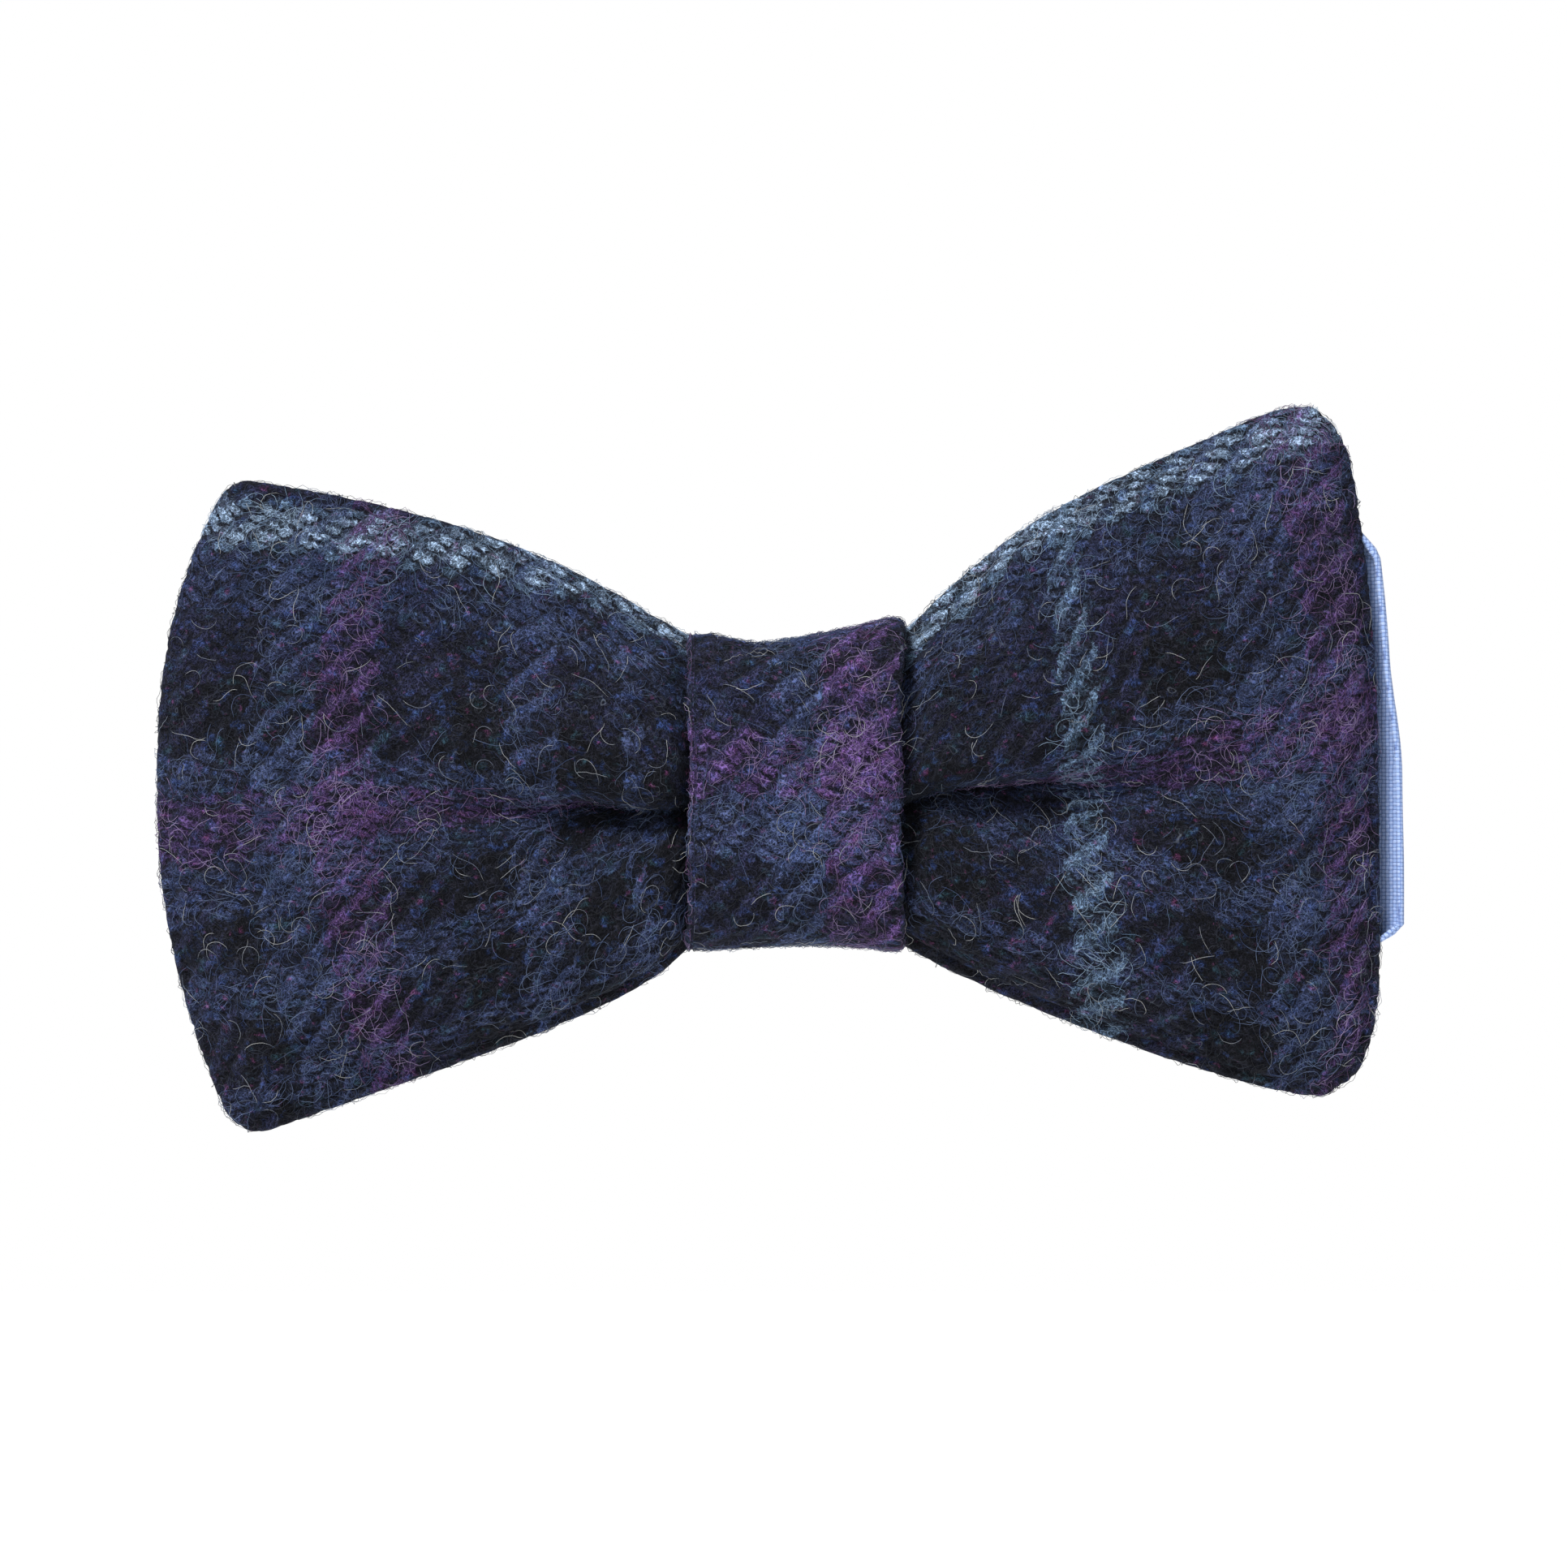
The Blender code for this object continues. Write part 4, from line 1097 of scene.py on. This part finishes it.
def build_band(cotton):
    """The band's two sides, each one strap from the front round its turned end and back on the inside,
    and the layer at the slider.
    """
    for side, label, turned_from in ((-1, "left", 2.90), (1, "right", 2.62)):
        start = np.array([[side * 0.05, BAND_FRONT_Y]])
        finish = np.array([[side * (FASTENER_BAR_X + 0.6), BAND_BACK_Y]])
        bar = (side * FASTENER_BAR_X, BAND_BACK_Y - TURN_RADIUS)
        path = even_path(np.concatenate([start, band_plan(side, 0, 3), finish,
                                         turned_end(side, bar),
                                         inner_layer(side, turned_from, 2.93)]), 0.8)
        band = strap(f"neck_band_{label}", path, BAND_HALF_THICKNESS, BAND_HALF_HEIGHT, cotton)
        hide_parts(f"band_{label}", *(["band_front"] if side == -1 else []))
        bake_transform(band)
    # The adjustable side's second layer ends in a loop sewn round the slider's middle bar
    slider_low, slider_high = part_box("slider")
    bar_x = -(BAND_HALF_SPAN - BAND_HALF_THICKNESS - 0.4) + 0.8
    slider_y = (slider_low[1] + slider_high[1]) / 2 / MM
    layer_x = -(BAND_HALF_SPAN - 2 * BAND_HALF_THICKNESS - LAYER_GAP)
    back = inner_layer(-1, 1.62, 2.92)
    # Straight to the slider, round its bar and back on the neck side
    run = [(layer_x, y) for y in np.linspace(back[-1][1], slider_y + 4.5, 12)[1:]]
    run += [(layer_x + 0.25, slider_y + 2.6)]
    angles = np.radians(np.linspace(180, 360, 13))
    run += [(bar_x + 0.95 * math.cos(a), slider_y + 1.15 * math.sin(a)) for a in angles]
    run += [(bar_x + x, slider_y + y) for x, y in ((1.25, 2.2), (1.6, 5.0), (1.6, 8.5))]
    path = even_path(np.concatenate([back, np.array(run)]), 0.5)
    layer = strap("neck_band_return", path, 0.36, BAND_HALF_HEIGHT - 0.25, cotton, 0.02)
    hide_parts("slider_tab")
    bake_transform(layer)


# ---------------------------------------------------------------- metal and stitches
def build_metal(finish):
    """The stamped fittings, with the rounded edges that plating leaves."""
    for node in ("slider", "hook", "eye"):
        made = copy_of(node, f"{node}_plated", finish)
        mesh = made.data
        bm = bmesh.new()
        bm.from_mesh(mesh)
        bmesh.ops.remove_doubles(bm, verts=bm.verts[:], dist=1e-6)
        bmesh.ops.dissolve_limit(bm, angle_limit=math.radians(2), verts=bm.verts[:],
                                 edges=bm.edges[:])
        bm.to_mesh(mesh)
        bm.free()
        bevel = made.modifiers.new("plated_edges", "BEVEL")
        bevel.width = 0.00018
        bevel.segments = 3
        bevel.limit_method = "ANGLE"
        bevel.angle_limit = math.radians(35)
        mesh.shade_smooth()
        mesh.set_sharp_from_angle(angle=math.radians(50))
        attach(made, node)
        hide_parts(node)


def build_knot_canvas(finish):
    """The knot's stiffener, cut narrow enough to stay inside the folded strip."""
    made = copy_of("knot_interlining", "knot_canvas", finish)
    for vertex in made.data.vertices:
        vertex.co.x *= KNOT_CANVAS_SHARE
    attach(made, "bow")
    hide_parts("knot_interlining")


def tube(name, paths, radius, finish, sides=8):
    """Closed round tubes, one for each path of points in millimetres."""
    paths = np.asarray(paths, float)
    count, steps = paths.shape[:2]
    tangent = unit(np.gradient(paths, axis=1))
    across = unit(np.cross(tangent, np.array([0.31, 0.54, 0.78])))
    other = np.cross(tangent, across)
    angles = np.arange(sides) * 2 * math.pi / sides
    taper = np.ones(steps)
    taper[[0, -1]] = 0.45
    ring = (across[:, :, None] * np.cos(angles)[:, None]
            + other[:, :, None] * np.sin(angles)[:, None])
    points = paths[:, :, None] + ring * (radius * taper)[None, :, None, None]
    one = np.arange(steps * sides).reshape(steps, sides)
    wall = quads(np.hstack([one, one[:, :1]]))[:, ::-1]
    caps = [(one[0, 0], one[0, k + 1], one[0, k]) for k in range(1, sides - 1)]
    caps += [(one[-1, 0], one[-1, k], one[-1, k + 1]) for k in range(1, sides - 1)]
    base = (np.arange(count) * steps * sides)[:, None, None]
    faces = [(wall[None] + base).reshape(-1, 4), (np.array(caps)[None] + base).reshape(-1, 3)]
    return write_mesh(name, points.reshape(-1, 3), faces, finish)


def build_knot_stitches(finish):
    """Slip stitches that close the knot strip, round its lower back edge."""
    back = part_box("knot_wrap")[1][1] / MM
    corner = KNOT_CORNERS["back"]
    stitches = []
    for x in np.arange(-8.5, 8.6, 1.7):
        angles = np.radians(np.linspace(-16, -52, 7))
        reach = corner + 0.22 * np.sin(np.linspace(0, math.pi, 7)) - 0.10
        stitches.append(np.stack([x + np.linspace(-0.45, 0.45, 7),
                                  back - corner + reach * np.cos(angles),
                                  -KNOT_HALF_HEIGHT + corner + reach * np.sin(angles)], -1))
    made = tube("knot_stitches", stitches, 0.13, finish)
    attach(made, "bow")
    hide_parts("knot_seam_thread")


# ---------------------------------------------------------------- loose fibres
def sample(grid, i, j):
    """Bilinear reading of a grid of vectors at fractional places."""
    i0, j0 = np.floor(i).astype(int), np.floor(j).astype(int)
    fi, fj = (i - i0)[..., None], (j - j0)[..., None]
    return (grid[i0, j0] * (1 - fi) * (1 - fj) + grid[i0 + 1, j0] * fi * (1 - fj)
            + grid[i0, j0 + 1] * (1 - fi) * fj + grid[i0 + 1, j0 + 1] * fi * fj)


def fibre_kinds(yarns, setts):
    """Kind of fibre shed by the yarn at each place: an index into FIBRES, or -1 for none."""
    along_warp = rng.random(len(yarns)) < 0.5
    kinds = np.empty(len(yarns), int)
    for take, place, sett in ((along_warp, yarns[:, 0], setts[0]),
                              (~along_warp, yarns[:, 1], setts[1])):
        names = [name for count, name in sett for _ in range(count)]
        shed = np.array([SHED[name] for name in names])
        kinds[take] = shed[np.floor(place[take]).astype(int) % len(names)]
    kept = rng.random(len(yarns)) < np.array([fibre[3] for fibre in FIBRES])[kinds]
    return np.where(rng.random(len(yarns)) < CREAM_SHARE, 0, np.where(kept, kinds, -1))


def loose_fibres(label, grids, setts, count, materials):
    """Curly fibres lying on a cloth grid, their ends sunk in it."""
    points, normals, yarns = grids
    rows, columns = points.shape[:2]
    pace_i = np.linalg.norm(np.gradient(points, axis=0), axis=-1)[..., None]
    pace_j = np.linalg.norm(np.gradient(points, axis=1), axis=-1)[..., None]
    weight = (pace_i * pace_j)[..., 0].ravel()
    pick = rng.choice(len(weight), size=count, p=weight / weight.sum())
    kinds = fibre_kinds(yarns.reshape(-1, 2)[pick], setts)
    pick, kinds = pick[kinds >= 0], kinds[kinds >= 0]
    count = len(pick)
    i, j = (pick // columns).astype(float), (pick % columns).astype(float)
    longest = np.array([fibre[1] for fibre in FIBRES])[kinds]
    reach = rng.uniform(0.4, 1.0, count) * longest
    heading = rng.uniform(0, 2 * math.pi, count)
    curl = rng.normal(0, 0.45, count)
    lift = rng.uniform(0.10, 0.42, count)
    phase = rng.uniform(0, 6.3, count)
    paths = np.empty((count, FIBRE_STEPS, 3))
    step = reach / (FIBRE_STEPS - 1)
    for k in range(FIBRE_STEPS):
        i = np.clip(i, 0.01, rows - 1.01)
        j = np.clip(j, 0.01, columns - 1.01)
        here, normal = sample(points, i, j), unit(sample(normals, i, j))
        arch = math.sin(math.pi * k / (FIBRE_STEPS - 1))
        height = 0.06 + lift * arch * (0.7 + 0.3 * np.sin(1.7 * k + phase))
        paths[:, k] = here + normal * height[:, None]
        curl = np.clip(curl + rng.normal(0, 0.28, count), -0.95, 0.95)
        heading = heading + curl * step * 1.2
        stride = (np.cos(heading) * step / np.maximum(sample(pace_i, i, j)[..., 0], 0.05),
                  np.sin(heading) * step / np.maximum(sample(pace_j, i, j)[..., 0], 0.05))
        i, j = i + stride[0], j + stride[1]
    for kind, (name, _, radius, _) in enumerate(FIBRES):
        if np.any(kinds == kind):
            made = tube(f"{label}_{name}_fibres", paths[kinds == kind], radius,
                        materials[kind], sides=3)
            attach(made, "bow")


# ---------------------------------------------------------------- stage and camera
def build_stage():
    """Floor, backdrop, lamps and the camera at the photo's viewing angle."""
    floor_mesh = bpy.data.meshes.new("floor")
    z, reach = CAD_BOX[0][2] - FLOOR_DROP, 4.0
    corners = [(-reach, -reach, z), (reach, -reach, z), (reach, reach, z), (-reach, reach, z)]
    floor_mesh.from_pydata(corners, [], [(0, 1, 2, 3)])
    g = Graph("floor_paint", roughness=0.9)
    g.shader.inputs["Base Color"].default_value = (0.97, 0.97, 0.97, 1.0)
    floor_mesh.materials.append(g.material)
    floor = add_object("floor", floor_mesh)

    world = bpy.data.worlds.new("studio")
    world.use_nodes = True
    tree = world.node_tree
    background = tree.nodes["Background"]
    background.inputs["Color"].default_value = (1.0, 1.0, 1.0, 1.0)
    seen = tree.nodes.new("ShaderNodeLightPath")
    strength = tree.nodes.new("ShaderNodeMapRange")
    tree.links.new(seen.outputs["Is Camera Ray"], strength.inputs["Value"])
    strength.inputs["To Min"].default_value = AMBIENT
    tree.links.new(strength.outputs["Result"], background.inputs["Strength"])
    bpy.context.scene.world = world

    for name, place, power, spread in (("key_softbox", KEY_FROM, KEY_STRENGTH, KEY_SPREAD),
                                       ("fill_softbox", FILL_FROM, FILL_STRENGTH, FILL_SPREAD)):
        lamp = bpy.data.lights.new(name, "SUN")
        lamp.energy = power
        lamp.angle = spread
        made = add_object(name, lamp)
        made.location = place
        made.rotation_euler = Vector(place).to_track_quat("Z", "Y").to_euler()

    camera = bpy.data.cameras.new("camera")
    camera.sensor_width = 36.0
    camera.lens = camera.sensor_width * VIEW_DISTANCE / VIEW_WIDTH
    camera.clip_start, camera.clip_end = 0.01, 20.0
    made = add_object("camera", camera)
    front_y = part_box("bow_front_panel")[0][1]
    made.location = (VIEW_CENTRE[0], front_y - VIEW_DISTANCE, VIEW_CENTRE[1])
    made.rotation_euler = (math.pi / 2, 0, 0)
    scene = bpy.context.scene
    scene.camera = made
    scene.view_settings.view_transform = "Standard"
    scene.view_settings.look = "None"


def main():
    tweed = tweed_material("tweed_check", WARP_SETT, WEFT_SETT, BOW_GAIN)
    knot_tweed = tweed_material("knot_tweed_check", KNOT_WARP, KNOT_WEFT, KNOT_GAIN)
    cotton = cotton_material("blue_poplin")
    canvas = canvas_material("canvas_weave", (0.62, 0.58, 0.50))
    wadding = canvas_material("wadding_felt", (0.80, 0.79, 0.75))
    sewing = thread_material("blue_thread", (0.16, 0.25, 0.50))
    nickel = metal_material("satin_nickel")
    build_stage()
    bow = build_tweed(tweed)
    build_lining(cotton)
    build_wadding(wadding)
    knot = build_knot(knot_tweed)
    build_knot_stitches(sewing)
    build_band(cotton)
    build_metal(nickel)
    build_knot_canvas(canvas)
    for node in ("band_front_interlining", "band_left_interlining", "band_right_interlining"):
        paint(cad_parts[node].data, canvas)
    for node in ("waist_binding_thread", "eye_bar_tack", "slider_tab_stitches"):
        paint(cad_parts[node].data, sewing)
    wools = [fibre_material(f"{fibre[0]}_wool", *tones)
             for fibre, tones in zip(FIBRES, FIBRE_TONES)]
    loose_fibres("bow", bow, (WARP_SETT, WEFT_SETT), BOW_FIBRES, wools)
    loose_fibres("knot", knot, (KNOT_WARP, KNOT_WEFT), KNOT_FIBRES, wools)


main()
